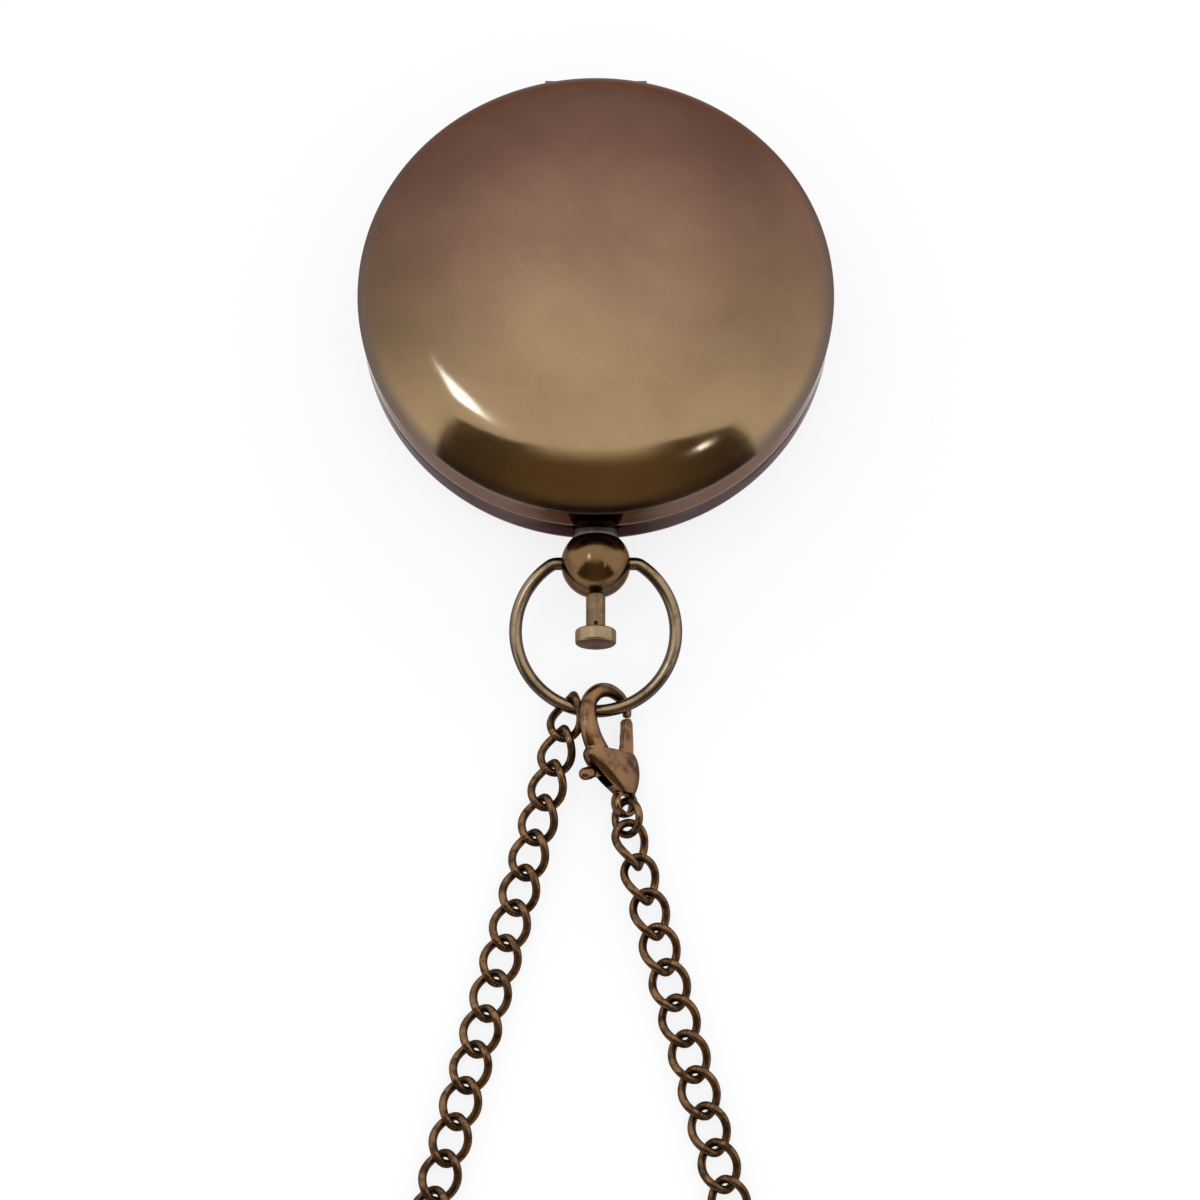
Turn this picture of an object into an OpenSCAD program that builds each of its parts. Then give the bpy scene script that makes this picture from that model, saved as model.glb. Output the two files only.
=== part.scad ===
// Pocket compass with a sprung lid, a push-button pendant, a bow ring and a clasped curb chain.
// Millimetres. The case lies on its back, the lid is shut and faces +Z, and the pendant, ring,
// clasp and chain lie towards -Y. The origin is the centre of the small flat under the back.

/* [Case] */
// Outside diameter of the case
case_d = 45; // [42:0.5:56]
// Sheet thickness of the back
back_t = 0.8; // [0.6:0.05:1]
// Sheet thickness of the lid
lid_t = 0.7; // [0.5:0.05:0.9]
// Height of the straight wall of the back
back_wall_h = 2.6; // [2.4:0.1:4]
// Height of the straight wall of the lid
lid_wall_h = 3.25; // [2:0.05:5]
// Rounding radius between wall and dome of the back
back_shoulder_r = 3.4; // [3:0.1:4]
// Rounding radius of the edge between wall and dome of the lid
lid_edge_r = 0.4; // [0.2:0.05:0.8]
// Slope of the lid's dome where it meets that edge
lid_edge_angle = 50; // [40:1:60]
// Radius of the lid's dome beside that edge
lid_dome_r = 9.3; // [7:0.1:12]
// Radius of the shallow dome of the back
back_crown_r = 200; // [150:10:400]
// Radius of the shallow dome of the lid
lid_crown_r = 135; // [110:5:400]
// Radius of the small flat that the back rests on
foot_r = 9; // [5:0.5:11]
// Gap between the rims of lid and back
seam_gap = 0.12; // [0.06:0.02:0.2]

/* [Lid hinge] */
// Outside diameter of the hinge barrel
barrel_d = 1.9; // [1.6:0.05:2.2]
// Length of the whole hinge barrel
barrel_w = 10; // [8:0.5:14]
// Length of the middle knuckle, which belongs to the lid
mid_knuckle_w = 4; // [3:0.25:5]
// Diameter of the hinge pin
hinge_pin_d = 0.8; // [0.6:0.05:1]
// Distance of the hinge axis outside the wall
barrel_out = 0.5; // [0.4:0.05:0.7]

/* [Dial and glass] */
// Room for the springs between the dial's ring and the case's wall
spring_room = 2.8; // [2.7:0.05:4]
// Thickness of the plate under the dial
plate_t = 0.5; // [0.3:0.05:0.6]
// Height of the underside of that plate above the foot
plate_z = 3; // [2.6:0.1:3.2]
// Thickness of the printed dial card
card_t = 0.15; // [0.1:0.05:0.25]
// Wall thickness of the ring that carries the glass
dial_ring_t = 0.9; // [0.8:0.05:1]
// Thickness of the glass
glass_t = 0.9; // [0.7:0.05:1]
// Thickness of the flange that holds the glass down
bezel_t = 0.4; // [0.3:0.05:0.5]

/* [Needle] */
// Tip-to-tip length of the needle
needle_len = 30; // [20:0.5:31]
// Width of the needle at its middle
needle_w = 3.4; // [2.6:0.1:5]
// Thickness of the needle
needle_t = 0.2; // [0.15:0.05:0.3]
// Diameter of the cap at the needle's middle
hub_d = 3; // [2.6:0.1:4]
// Diameter of the post that the needle turns on
post_d = 0.9; // [0.7:0.05:1]

/* [Pendant and button] */
// Diameter of the pendant ball
ball_d = 6.5; // [6:0.1:7.2]
// Diameter of the collar between ball and case
collar_d = 4.4; // [4:0.1:4.8]
// Length of that collar outside the wall
collar_len = 0.9; // [0.7:0.1:1.6]
// Depth of the pendant's axis below the back's rim
pendant_drop = 1.6; // [1.5:0.05:1.7]
// Diameter of the button's stem
stem_d = 1.8; // [1.5:0.05:1.9]
// Diameter of the button's head
head_d = 3.8; // [3:0.1:5]
// Length of the button's head
head_len = 1.4; // [1:0.1:2.4]
// Stem length that shows between ball and head
stem_out = 3.2; // [2.4:0.1:5]
// Travel of the button
button_travel = 1; // [0.8:0.05:1]

/* [Bow ring] */
// Radius of the ring to the middle of its wire
ring_r = 7.45; // [7:0.05:9]
// Diameter of the ring's wire
ring_wire_d = 1.2; // [1:0.05:1.3]
// Bend radius where the wire turns into the ball
ring_elbow_r = 1.2; // [1:0.05:1.6]
// Slope of the ring down from the pendant, in degrees
ring_drop = 10.8; // [9:0.1:12]

/* [Chain] */
// Number of links in the whole chain
link_count = 60; // [54:1:72]
// Diameter of the link wire
link_wire_d = 0.76; // [0.66:0.02:0.8]
// Distance from one link to the next
link_pitch = 3.3; // [3.1:0.05:3.6]
// Free play between two hooked links
link_play = 0.18; // [0.12:0.01:0.2]
// Outside width of a link before it is twisted
link_w = 3.86; // [3.7:0.02:4.2]
// Twist of each end of a link out of its plane, in degrees
link_twist = 40; // [34:1:44]
// Angle of each strand to the chain's middle line, in degrees
strand_angle = 14.9; // [12:0.1:18]
// Distance from the ring's middle to the link that hangs on it
hang_x = 2.4; // [2.3:0.05:2.7]
// Distance from the ring's middle to the chain's middle line
loop_x = 1.25; // [1.1:0.05:1.4]

/* [Clasp] */
// Length of the clasp from the top of its hook to the end of its eye
clasp_len = 12.4; // [12:0.1:13]
// Width of the clasp, measured in its own plane
clasp_w = 6.9; // [6.6:0.05:7.2]
// Thickness of the clasp's body
clasp_t = 2.5; // [2.2:0.05:2.6]
// Distance from the ring's middle to the middle of the hook
clasp_x = 1.36; // [1.2:0.02:1.5]
// Tilt of the clasp about its own length, in degrees
clasp_roll = 42; // [40:0.5:44]
// Thickness of the trigger lever
trigger_t = 0.7; // [0.6:0.05:0.8]
// Swing of the trigger, in degrees
trigger_swing = 20; // [12:1:20]
// Radius of the jump ring to the middle of its wire
jump_r = 1.55; // [1.5:0.01:1.6]
// Diameter of the jump ring's wire
jump_wire_d = 0.72; // [0.66:0.02:0.76]

/* [Hidden] */

// Colours of the finishes
brass = [0.50, 0.39, 0.24];
bronze = [0.42, 0.31, 0.24];
copper = [0.45, 0.28, 0.16];
steel = [0.62, 0.63, 0.65];
blued = [0.10, 0.14, 0.35];
paper = [0.93, 0.90, 0.80];
clear = [0.80, 0.88, 0.90, 0.35];
ruby = [0.60, 0.08, 0.15];

// Overrun of every cut, radial running fit, soldered or seated fit, and fineness of round faces
over = 1;
run_fit = 0.03;
seat_fit = 0.02;
round_fn = 96;
small_fn = 48;
bend_step = 360 / round_fn;

// Case
case_r = case_d / 2;
back_edge_angle = 45;
function crown_z(crown, foot) = sqrt(crown * crown - foot * foot);

// Profile of a cup: [radius of its edge, slope of its dome at the edge, radius of the dome, of the crown, of the foot]
back_profile = [back_shoulder_r, back_edge_angle, back_shoulder_r, back_crown_r, foot_r];
lid_profile = [lid_edge_r, lid_edge_angle, lid_dome_r, lid_crown_r, 0];
function dome_mid_x(p) = case_r - p[0] - (p[2] - p[0]) * sin(p[1]);
function crown_angle(p) = asin(dome_mid_x(p) / (p[3] - p[2]));
function dome_mid_z(p) = crown_z(p[3], p[4]) - (p[3] - p[2]) * cos(crown_angle(p));
function edge_mid_z(p) = dome_mid_z(p) - (p[2] - p[0]) * cos(p[1]);
back_shoulder_z = edge_mid_z(back_profile);
rim_z = back_shoulder_z + back_wall_h;
lid_rim_z = rim_z + seam_gap;
lid_h = edge_mid_z(lid_profile) + lid_wall_h;
lid_top_z = lid_rim_z + lid_h;
back_in_r = case_r - back_t;
lid_in_r = case_r - lid_t;

// Lid hinge
barrel_r = barrel_d / 2;
hinge_y = case_r + barrel_out;
hinge_z = rim_z + seam_gap / 2;
knuckle_gap = 0.08;
barrel_room = 0.2;
leaf_h = 1.8;
heel_w = 3;
heel_h = 0.8;

// Dial, glass and bezel, measured down from the lid's rim
plate_top_z = plate_z + plate_t;
dial_ring_r = back_in_r - spring_room;
dial_r = dial_ring_r - dial_ring_t;
glass_seat_share = 0.6;
glass_r = dial_r + dial_ring_t * glass_seat_share;
bezel_top_z = lid_rim_z;
glass_top_z = bezel_top_z - bezel_t;
glass_z = glass_top_z - glass_t;
bezel_lip = 0.4;
bezel_room = 0.3;
skirt_t = 0.4;
skirt_h = 0.8;
plate_r = case_r - back_shoulder_r - seat_fit
    + sqrt(pow(back_shoulder_r - back_t, 2) - pow(back_shoulder_z - plate_z, 2));

// Post, needle and cap
post_r = post_d / 2;
post_foot_r = 1;
post_foot_h = 0.35;
post_tip_h = 0.5;
rivet_t = 0.3;
needle_room = 0.54;
post_top_z = glass_z - needle_room;
hub_r = hub_d / 2;
hub_neck_r = hub_r * 0.6;
hub_h = 0.5;
hub_neck_h = 0.3;
hub_bore_r = hub_neck_r * 0.75;
jewel_r = hub_neck_r * 0.5;
jewel_t = 0.25;
jewel_dimple = 0.12;
tip_play = 0.03;
jewel_z = post_top_z + tip_play - jewel_dimple;
needle_z = jewel_z + jewel_t - hub_h + seat_fit;

// Springs, catch and screws in the space between dial ring and wall
strip_t = 0.3;
strip_wall_gap = 1.25;
strip_r = back_in_r - strip_wall_gap;
strip_lift = 0.8;
strip_z = plate_top_z + strip_lift;
strip_h = 1.2;
strip_span = 55;
foot_tab_r = 0.75;
screw_r = 0.35;
screw_head_r = 0.62;
screw_head_h = 0.3;
screw_len = 0.6;
catch_t = 0.35;
catch_wall_gap = 0.2;
catch_out_r = back_in_r - catch_wall_gap;
catch_in_r = catch_out_r - catch_t;
catch_half_angle = 6.2;
catch_slot_angle = 3.4;
catch_play = 0.1;
catch_up = 1.4;
ledge_reach = catch_in_r - strip_r - strip_t / 2 - catch_play;
ledge_t = 0.4;
ledge_drop_share = 1 / 3;
nose_t = 0.5;
nose_half_angle = 2.4;
nose_gap = 0.15;
nose_play = 0.05;
nose_out_r = catch_in_r - nose_gap;
nose_h = 0.5;

// Pendant
pendant_z = rim_z - pendant_drop;
ledge_z = pendant_z - stem_d / 2 * ledge_drop_share;
ball_r = ball_d / 2;
collar_r = collar_d / 2;
collar_round = 0.35;
lid_room = 0.15;
ball_seat_w = 0.25;
ball_seat_r = collar_r + ball_seat_w;
ball_y = -(case_r + collar_len + sqrt(ball_r * ball_r - ball_seat_r * ball_seat_r));
collar_front_y = -(case_r + collar_len);
spigot_t = 0.4;
spigot_r = stem_d / 2 + spigot_t;
chamber_r = 1.7;
chamber_share = 0.51;
chamber_front_y = ball_y - ball_r * chamber_share;

// Button
stem_r = stem_d / 2;
stem_in_y = -(nose_out_r + nose_play);
head_y = ball_y - ball_r - stem_out;
head_end_y = head_y - head_len;
head_r = head_d / 2;
head_round = 0.25;
shank_len = 1;
tenon_r = stem_r * 0.6;
tenon_len = shank_len + head_len * 0.5;
head_pin_r = 0.18;
clip_room = 0.2;
clip_r = chamber_r - clip_room;
clip_t = 0.4;
clip_play = 0.05;
clip_y = chamber_front_y + clip_play;
coil_wire_d = 0.24;
coil_room = 0.4;
coil_r = chamber_r - coil_room;
coil_turns = 5;
coil_steps = 10;
coil_sides = 5;

// Bow ring, in a frame at the middle of the ball that slopes with the ring
ring_wire_r = ring_wire_d / 2;
elbow_gap = 0.35;
elbow_x = ball_r + elbow_gap;
solder_t = 0.02;
elbow_angle = asin(elbow_x / (ring_r - ring_elbow_r));
ring_c = (ring_r - ring_elbow_r) * cos(elbow_angle) + ring_elbow_r;
stub_gap = 0.1;
stub_in_x = chamber_r + stub_gap;
function ring_reach(x) = ring_c + sqrt(ring_r * ring_r - x * x);
function ring_point(x) =
    [x, ball_y - ring_reach(x) * cos(ring_drop), pendant_z - ring_reach(x) * sin(ring_drop)];

// Links: an oval wire whose two ends are twisted against each other, so that a row of them lies flat
link_wire_r = link_wire_d / 2;
link_hook = link_wire_d + link_play;
link_a = (link_pitch + link_hook) / 2;
link_b = (link_w - link_wire_d) / 2;
link_steps = 14;
link_sides = 6;
function link_line(a) = [
    link_a * cos(a),
    link_b * sin(a) * cos(link_twist * cos(a)),
    -link_b * sin(a) * sin(link_twist * cos(a))
];
link_half_h = max([for (a = [0:5:355]) abs(link_line(a)[2])]) + link_wire_r;
rest_gap = 0.02;
chain_z = link_half_h + rest_gap;

// Route: down the left strand from the crossing point of both strands, round, and up the right
hang_play = 0.18;
hang = ring_point(-hang_x);
hang_z = hang[2];
hang_s = (hang_x - loop_x) / sin(strand_angle);
cross_y = hang[1] + hang_s * cos(strand_angle);
first_left_s = hang_s + link_a - (ring_wire_d + link_wire_d) / 2 - hang_play;
strand_offset = 4;
first_right_s = first_left_s + strand_offset * link_pitch - link_hook;
turn_angle = 180 + 2 * strand_angle;
turn_share = tan(strand_angle) * turn_angle * PI / 180;
straight_s = ((link_count - 1) * link_pitch + first_left_s + first_right_s) / (2 + turn_share);
turn_r = straight_s * tan(strand_angle);
turn_y = cross_y - straight_s / cos(strand_angle);
turn_s = straight_s * turn_share;
function strand_point(s, side) =
    [-loop_x + side * s * sin(strand_angle), cross_y - s * cos(strand_angle)];
function turn_point(g) = [-loop_x + turn_r * cos(g - 90), turn_y + turn_r * sin(g - 90)];
function turn_heading(s) = -90 - strand_angle + (s - straight_s) / turn_r * 180 / PI;
function heading(s) =
    s < straight_s ? -90 - strand_angle
    : s > straight_s + turn_s ? 90 + strand_angle
    : turn_heading(s);
function route_point(s) =
    s < straight_s ? strand_point(s, -1)
    : s > straight_s + turn_s ? strand_point(2 * straight_s + turn_s - s, 1)
    : turn_point(turn_heading(s));
function ease(u) = let (v = min(max(u, 0), 1)) v * v * (3 - 2 * v);

// Height and twist of the first links, where the chain comes down from the ring and the jump ring
left_ease_links = 6.5;
left_roll = 34;
left_roll_links = 7;
right_ease_links = 6;
right_roll = 38;
right_roll_links = 4;
right_lift = 0.55;
right_top_z = chain_z + right_lift;
function route_z(s) =
    let (from_left = s - first_left_s, from_right = 2 * straight_s + turn_s - first_right_s - s)
    from_left < from_right
    ? hang_z + (chain_z - hang_z) * ease(from_left / (left_ease_links * link_pitch))
    : right_top_z + (chain_z - right_top_z) * ease(from_right / (right_ease_links * link_pitch));
function link_roll(k) = max(
    left_roll * (1 - k / left_roll_links),
    right_roll * (1 - (link_count - 1 - k) / right_roll_links),
    0
);

// Numbers of the links at which the chain folds
fold_links = [7, 12, 17, 21];
turn_links = 11;

// Clasp, in its own frame: the middle of the hook's opening, +Y to the hook's top
hook_hang = 0.6;
clasp_at = ring_point(clasp_x) - [0, hook_hang, 0];
hook_x_shares = [-0.14, -0.32, -0.40, -0.38, -0.23, -0.03, 0.17, 0.285, 0.30];
hook_y_shares = [-0.34, -0.20, -0.05, 0.075, 0.165, 0.196, 0.163, 0.085, 0.03];
hook_r_shares = [0.16, 0.148, 0.13, 0.115, 0.105, 0.096, 0.086, 0.076, 0.066];
body_y_shares = [-0.21, -0.27, -0.35, -0.43, -0.51, -0.575];
body_left_shares = [-0.40, -0.45, -0.40, -0.27, -0.10, 0.08];
body_right_shares = [0.40, 0.45, 0.475, 0.475, 0.45, 0.40];
body_t_shares = [0.84, 0.96, 1.0, 0.96, 0.82, 0.64];
eye_at = [0.25 * clasp_w, -0.645 * clasp_len];
eye_r = 0.195 * clasp_w;
eye_hole_r = 0.118 * clasp_w;
eye_t = 0.46 * clasp_t;
pivot_at = [0.246 * clasp_w, -0.355 * clasp_len];
rivet_r = 0.4;
lever_room = 0.1;
pocket_t = trigger_t + 4 * lever_room;
lever_z = -lever_room;
pivot_hub_r = 0.8;
gate_x_shares = [-0.095, 0.14, 0.146, 0.131, 0.092, 0.023, -0.008, -0.03];
gate_y_shares = [0, 0, 0.16, 0.335, 0.365, 0.362, 0.34, 0.16];
tail_x_shares = [0, 0, -0.60, -0.64];
tail_y_shares = [0.055, -0.065, -0.112, -0.062];
knob_at = [-0.66 * clasp_w, -0.082 * clasp_len];
knob_r = 0.48;
knob_len = 1.4;
clasp_coil_r = 0.62;
clasp_coil_wire_d = 0.16;
hook_t_share = 0.8;
hook_steps = 3;
hook_sides = 10;
body_sides = 16;

// Jump ring between the clasp's eye and the right strand
function clasp_to_world(p) = [
    clasp_at[0] + p[0] * cos(clasp_roll) + p[2] * sin(clasp_roll),
    clasp_at[1] + p[1],
    clasp_at[2] - p[0] * sin(clasp_roll) + p[2] * cos(clasp_roll)
];
eye_wall = clasp_to_world([eye_at[0], eye_at[1] - (eye_r + eye_hole_r) / 2, 0]);
right_top = concat(strand_point(first_right_s - link_a, 1), [right_top_z]);
jump_lean = 46;
jump_side = 0.2;
jump_z = jump_r * sin(jump_lean) + jump_wire_d / 2 + rest_gap;

function unit(v) = v / norm(v);

// Points of an arc, from point number 'first' on
function arc(cx, cy, r, from, to, steps, first = 0) = [
    for (i = [first:steps])
        let (a = from + (to - from) * i / steps)
        [cx + r * cos(a), cy + r * sin(a)]
];

// Side of a domed cup from its middle to its rim, moved in by 'inset'
function cup_side(p, rim, inset) =
    let (
        start = asin(p[4] / p[3]),
        meet = crown_angle(p),
        last = inset < p[0] ? p[1] : asin((case_r - inset - dome_mid_x(p)) / (p[2] - inset))
    )
    concat(
        p[4] > 0 ? [[0, crown_z(p[3], p[4]) - (p[3] - inset) * cos(start)]] : [],
        arc(0, crown_z(p[3], p[4]), p[3] - inset, start - 90, meet - 90, 5),
        arc(dome_mid_x(p), dome_mid_z(p), p[2] - inset, meet - 90, last - 90, 8, 1),
        inset < p[0] ? arc(case_r - p[0], edge_mid_z(p), p[0] - inset, last - 90, 0, 5, 1) : [],
        [[case_r - inset, rim]]
    );

function reversed(list) = [for (i = [len(list) - 1:-1:0]) list[i]];

module cup(profile, rim, t) {
    rotate_extrude($fn = round_fn)
        polygon(concat(cup_side(profile, rim, 0), reversed(cup_side(profile, rim, t))));
}

// Edge of a bent strip about the case's axis, in chords on one angular grid, so that strips of one radius share faces
function bent_edge(r, a1, a2) =
    let (inner = [for (g = [floor(a1 / bend_step) + 1:ceil(a2 / bend_step) - 1]) g * bend_step])
    [
        for (a = concat([a1], inner, [a2]))
            let (middle = (floor(a / bend_step) + 1 / 2) * bend_step)
            r * cos(bend_step / 2) / cos(a - middle) * [cos(a), sin(a)]
    ];

// A bent strip or block: part of a ring about the case's axis
module sector(r1, r2, z1, z2, a1, a2) {
    translate([0, 0, z1])
        linear_extrude(z2 - z1)
        polygon(concat(bent_edge(r2, a1, a2), reversed(bent_edge(r1, a1, a2))));
}

module ring_section(points) {
    rotate_extrude($fn = round_fn) polygon(points);
}

// A bar along X
module bar_x(r, x1, x2) {
    translate([x1, 0, 0]) rotate([0, 90, 0]) cylinder(r = r, h = x2 - x1, $fn = small_fn);
}

// A bar along the pendant's axis, from y1 out to y2
module pendant_bar(r, y1, y2) {
    translate([0, y1, pendant_z]) rotate([90, 0, 0]) cylinder(r = r, h = y1 - y2, $fn = small_fn);
}

// A turned piece about the pendant's axis: points are [radius, distance out from y]
module pendant_turned(y, points) {
    translate([0, y, pendant_z]) rotate([90, 0, 0]) rotate_extrude($fn = small_fn) polygon(points);
}

module at_hinge() {
    translate([0, hinge_y, hinge_z]) children();
}

// One hinge knuckle with the leaf that joins it to the wall. up is 1 on the lid, -1 on the back.
module knuckle(x1, x2, up, wall_r, rim) {
    at_hinge() bar_x(barrel_r, x1, x2);
    difference() {
        translate([x1, 0, 0])
            rotate([90, 0, 90])
            linear_extrude(x2 - x1)
            polygon([
                [case_r - 2 * back_t, rim],
                [hinge_y, rim],
                [hinge_y, rim + up * barrel_r / 2],
                [case_r - 2 * back_t, rim + up * leaf_h]
            ]);
        translate([0, 0, -over]) cylinder(r = wall_r, h = lid_top_z, $fn = round_fn);
    }
}

module back_shell() {
    color(brass)
    difference() {
        union() {
            cup(back_profile, rim_z, back_t);
            for (side = [0, 1])
                mirror([side, 0, 0])
                knuckle(
                    mid_knuckle_w / 2 + knuckle_gap, barrel_w / 2,
                    -1, case_r - back_t / 2, rim_z
                );
        }
        at_hinge() bar_x(hinge_pin_d / 2 + seat_fit, -barrel_w, barrel_w);
        at_hinge()
            bar_x(
                barrel_r + barrel_room,
                -mid_knuckle_w / 2 - knuckle_gap, mid_knuckle_w / 2 + knuckle_gap
            );
        pendant_bar(spigot_r + seat_fit, -back_in_r + over, -case_r - over);
    }
}

module hinge_pin() {
    color(steel) at_hinge() bar_x(hinge_pin_d / 2, -barrel_w / 2, barrel_w / 2);
}

module dial_plate() {
    color(brass)
    difference() {
        translate([0, 0, plate_z]) cylinder(r = plate_r, h = plate_t, $fn = round_fn);
        translate([0, 0, plate_z - over])
            cylinder(r = post_r + seat_fit, h = plate_t + 2 * over, $fn = small_fn);
        for (a = [screw_angle(-1), screw_angle(1)])
            rotate([0, 0, a])
            translate([strip_r, 0, plate_z - over])
            cylinder(r = screw_r + seat_fit, h = plate_t + 2 * over, $fn = small_fn);
    }
}

module dial_card() {
    color(paper)
    translate([0, 0, plate_top_z])
    difference() {
        cylinder(r = dial_r - seat_fit, h = card_t, $fn = round_fn);
        translate([0, 0, -over])
            cylinder(r = post_r + seat_fit, h = card_t + 2 * over, $fn = small_fn);
    }
}

module dial_ring() {
    color(brass)
    ring_section([
        [dial_r, plate_top_z],
        [dial_ring_r, plate_top_z],
        [dial_ring_r, glass_top_z],
        [glass_r + seat_fit, glass_top_z],
        [glass_r + seat_fit, glass_z],
        [dial_r, glass_z]
    ]);
}

module pivot_post() {
    foot_z = plate_top_z + card_t;
    color(steel)
    ring_section([
        [0, plate_z - rivet_t],
        [post_foot_r * 0.8, plate_z - rivet_t],
        [post_foot_r * 0.9, plate_z],
        [post_r, plate_z],
        [post_r, foot_z],
        [post_foot_r, foot_z],
        [post_foot_r, foot_z + post_foot_h / 2],
        [post_r, foot_z + post_foot_h],
        [post_r * 0.6, post_top_z - post_tip_h],
        [0, post_top_z]
    ]);
}

module crystal() {
    color(clear)
    translate([0, 0, glass_z])
    cylinder(r = glass_r, h = glass_t, $fn = round_fn);
}

module bezel_ring() {
    skirt_r = back_in_r - bezel_room / 4;
    flange_r = lid_in_r - bezel_room;
    bezel_in_r = dial_r - bezel_lip;
    color(brass)
    difference() {
        ring_section([
            [bezel_in_r, glass_top_z],
            [skirt_r - skirt_t, glass_top_z],
            [skirt_r - skirt_t, glass_top_z - skirt_h],
            [skirt_r, glass_top_z - skirt_h],
            [skirt_r, glass_top_z],
            [flange_r, bezel_top_z],
            [bezel_in_r + bezel_t, bezel_top_z],
            [bezel_in_r, bezel_top_z - bezel_t / 2]
        ]);
        notch(-1, case_r * sin(catch_half_angle) * 2 + 4 * catch_play, nose_out_r - nose_t - ledge_reach);
        notch(1, heel_w + 4 * catch_play, strip_r - strip_t - 2 * catch_play);
    }
}

// A gap in the bezel at the pendant's side (-1) or the hinge's side (1)
module notch(side, w, from_r) {
    depth = case_r - from_r;
    translate([-w / 2, side > 0 ? from_r : -from_r - depth, glass_top_z - skirt_h - over])
        cube([w, depth, skirt_h + bezel_t + 2 * over]);
}

function screw_angle(side) = side > 0 ? 90 - strip_span : -90 + strip_span;

// A flat curved spring on edge, with the foot tab that its screw goes through
module strip_spring(side) {
    // The strip ends in the tab, short of the screw's hole
    span = strip_span - asin((screw_r + foot_tab_r) / 2 / strip_r);
    a0 = side > 0 ? 90 - span : -90;
    difference() {
        union() {
            sector(strip_r - strip_t / 2, strip_r + strip_t / 2, strip_z, strip_z + strip_h, a0, a0 + span);
            rotate([0, 0, screw_angle(side)])
                translate([strip_r, 0, plate_top_z + run_fit])
                cylinder(r = foot_tab_r, h = strip_z + strip_h - plate_top_z - run_fit, $fn = small_fn);
        }
        rotate([0, 0, screw_angle(side)])
            translate([strip_r, 0, plate_z])
            cylinder(r = screw_r + run_fit, h = strip_z + strip_h, $fn = small_fn);
    }
}

module lift_spring() {
    color(steel) {
        strip_spring(1);
        translate([-strip_t, strip_r - strip_t / 2 - seat_fit, strip_z])
            cube([heel_w / 2, strip_t, lid_rim_z - strip_z - run_fit]);
    }
}

module spring_screws() {
    color(steel)
    for (side = [-1, 1])
        rotate([0, 0, screw_angle(side)])
        translate([strip_r, 0, 0])
        ring_section([
            [0, plate_z - rivet_t],
            [screw_r, plate_z - rivet_t],
            [screw_r, strip_z + strip_h + run_fit],
            [screw_head_r, strip_z + strip_h + run_fit],
            [screw_head_r, strip_z + strip_h + screw_head_h],
            [0, strip_z + strip_h + screw_head_h]
        ]);
}

module neck_collar() {
    bore_r = stem_r + run_fit;
    color(bronze)
    difference() {
        pendant_turned(-case_r + over, concat(
            [[0, 0], [collar_r, 0]],
            arc(collar_r - collar_round, over + collar_len - collar_round, collar_round, 0, 90, 4),
            [[0, over + collar_len]]
        ));
        difference() {
            ring_section(concat(
                cup_side(back_profile, rim_z + over, -seat_fit),
                [[0, rim_z + over]]
            ));
            pendant_bar(spigot_r, 0, -case_r - over);
        }
        translate([0, 0, rim_z]) cylinder(r = case_r + lid_room, h = lid_h, $fn = round_fn);
        translate([0, 0, -over]) cylinder(r = back_in_r, h = lid_top_z, $fn = round_fn);
        pendant_bar(bore_r, over, -case_d);
    }
}

module pendant_ball() {
    color(brass)
    difference() {
        translate([0, ball_y, pendant_z]) rotate([90, 0, 0]) sphere(r = ball_r, $fn = round_fn);
        translate([-ball_r, collar_front_y, pendant_z - ball_r]) cube([ball_d, ball_d, ball_d]);
        pendant_bar(chamber_r, collar_front_y + over, chamber_front_y);
        pendant_bar(stem_r + run_fit, 0, -case_d);
        translate([0, ball_y, pendant_z]) bar_x(ring_wire_r + run_fit, -ball_d, ball_d);
    }
}

module needle() {
    tip = needle_len / 2;
    color(blued)
    difference() {
        translate([0, 0, needle_z])
            linear_extrude(needle_t)
            polygon([
                [0, tip], [-needle_w / 2, 0], [0, -tip], [needle_w / 2, 0]
            ]);
        translate([0, 0, needle_z - over])
            cylinder(r = hub_neck_r + seat_fit, h = needle_t + 2 * over, $fn = small_fn);
    }
}

module needle_hub() {
    flange_z = needle_z + needle_t;
    color(brass)
    ring_section([
        [hub_bore_r, needle_z - hub_neck_h + needle_t],
        [hub_neck_r, needle_z - hub_neck_h + needle_t],
        [hub_neck_r, flange_z],
        [hub_r, flange_z],
        [hub_r * 0.9, flange_z + hub_h * 0.4],
        [hub_r * 0.4, flange_z + hub_h],
        [0, flange_z + hub_h],
        [0, jewel_z + jewel_t],
        [jewel_r + seat_fit, jewel_z + jewel_t],
        [jewel_r + seat_fit, jewel_z - jewel_dimple / 2],
        [hub_bore_r, jewel_z - jewel_dimple * 2]
    ]);
}

module cap_jewel() {
    color(ruby)
    ring_section([
        [0, jewel_z + jewel_dimple],
        [jewel_r * 0.7, jewel_z],
        [jewel_r, jewel_z],
        [jewel_r, jewel_z + jewel_t - seat_fit],
        [0, jewel_z + jewel_t - seat_fit]
    ]);
}

module lid_shell() {
    color(bronze)
    difference() {
        union() {
            translate([0, 0, lid_top_z])
                mirror([0, 0, 1])
                cup(lid_profile, lid_h, lid_t);
            knuckle(-mid_knuckle_w / 2, mid_knuckle_w / 2, 1, case_r - lid_t / 2, lid_rim_z);
            translate([-heel_w / 2, strip_r - strip_t, lid_rim_z])
                cube([heel_w, case_r - lid_t / 2 - strip_r, heel_h]);
        }
        at_hinge() bar_x(hinge_pin_d / 2 + run_fit, -barrel_w, barrel_w);
        for (side = [0, 1])
            mirror([side, 0, 0])
            at_hinge()
            bar_x(barrel_r + barrel_room, mid_knuckle_w / 2, barrel_w / 2 + knuckle_gap);
    }
}

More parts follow.
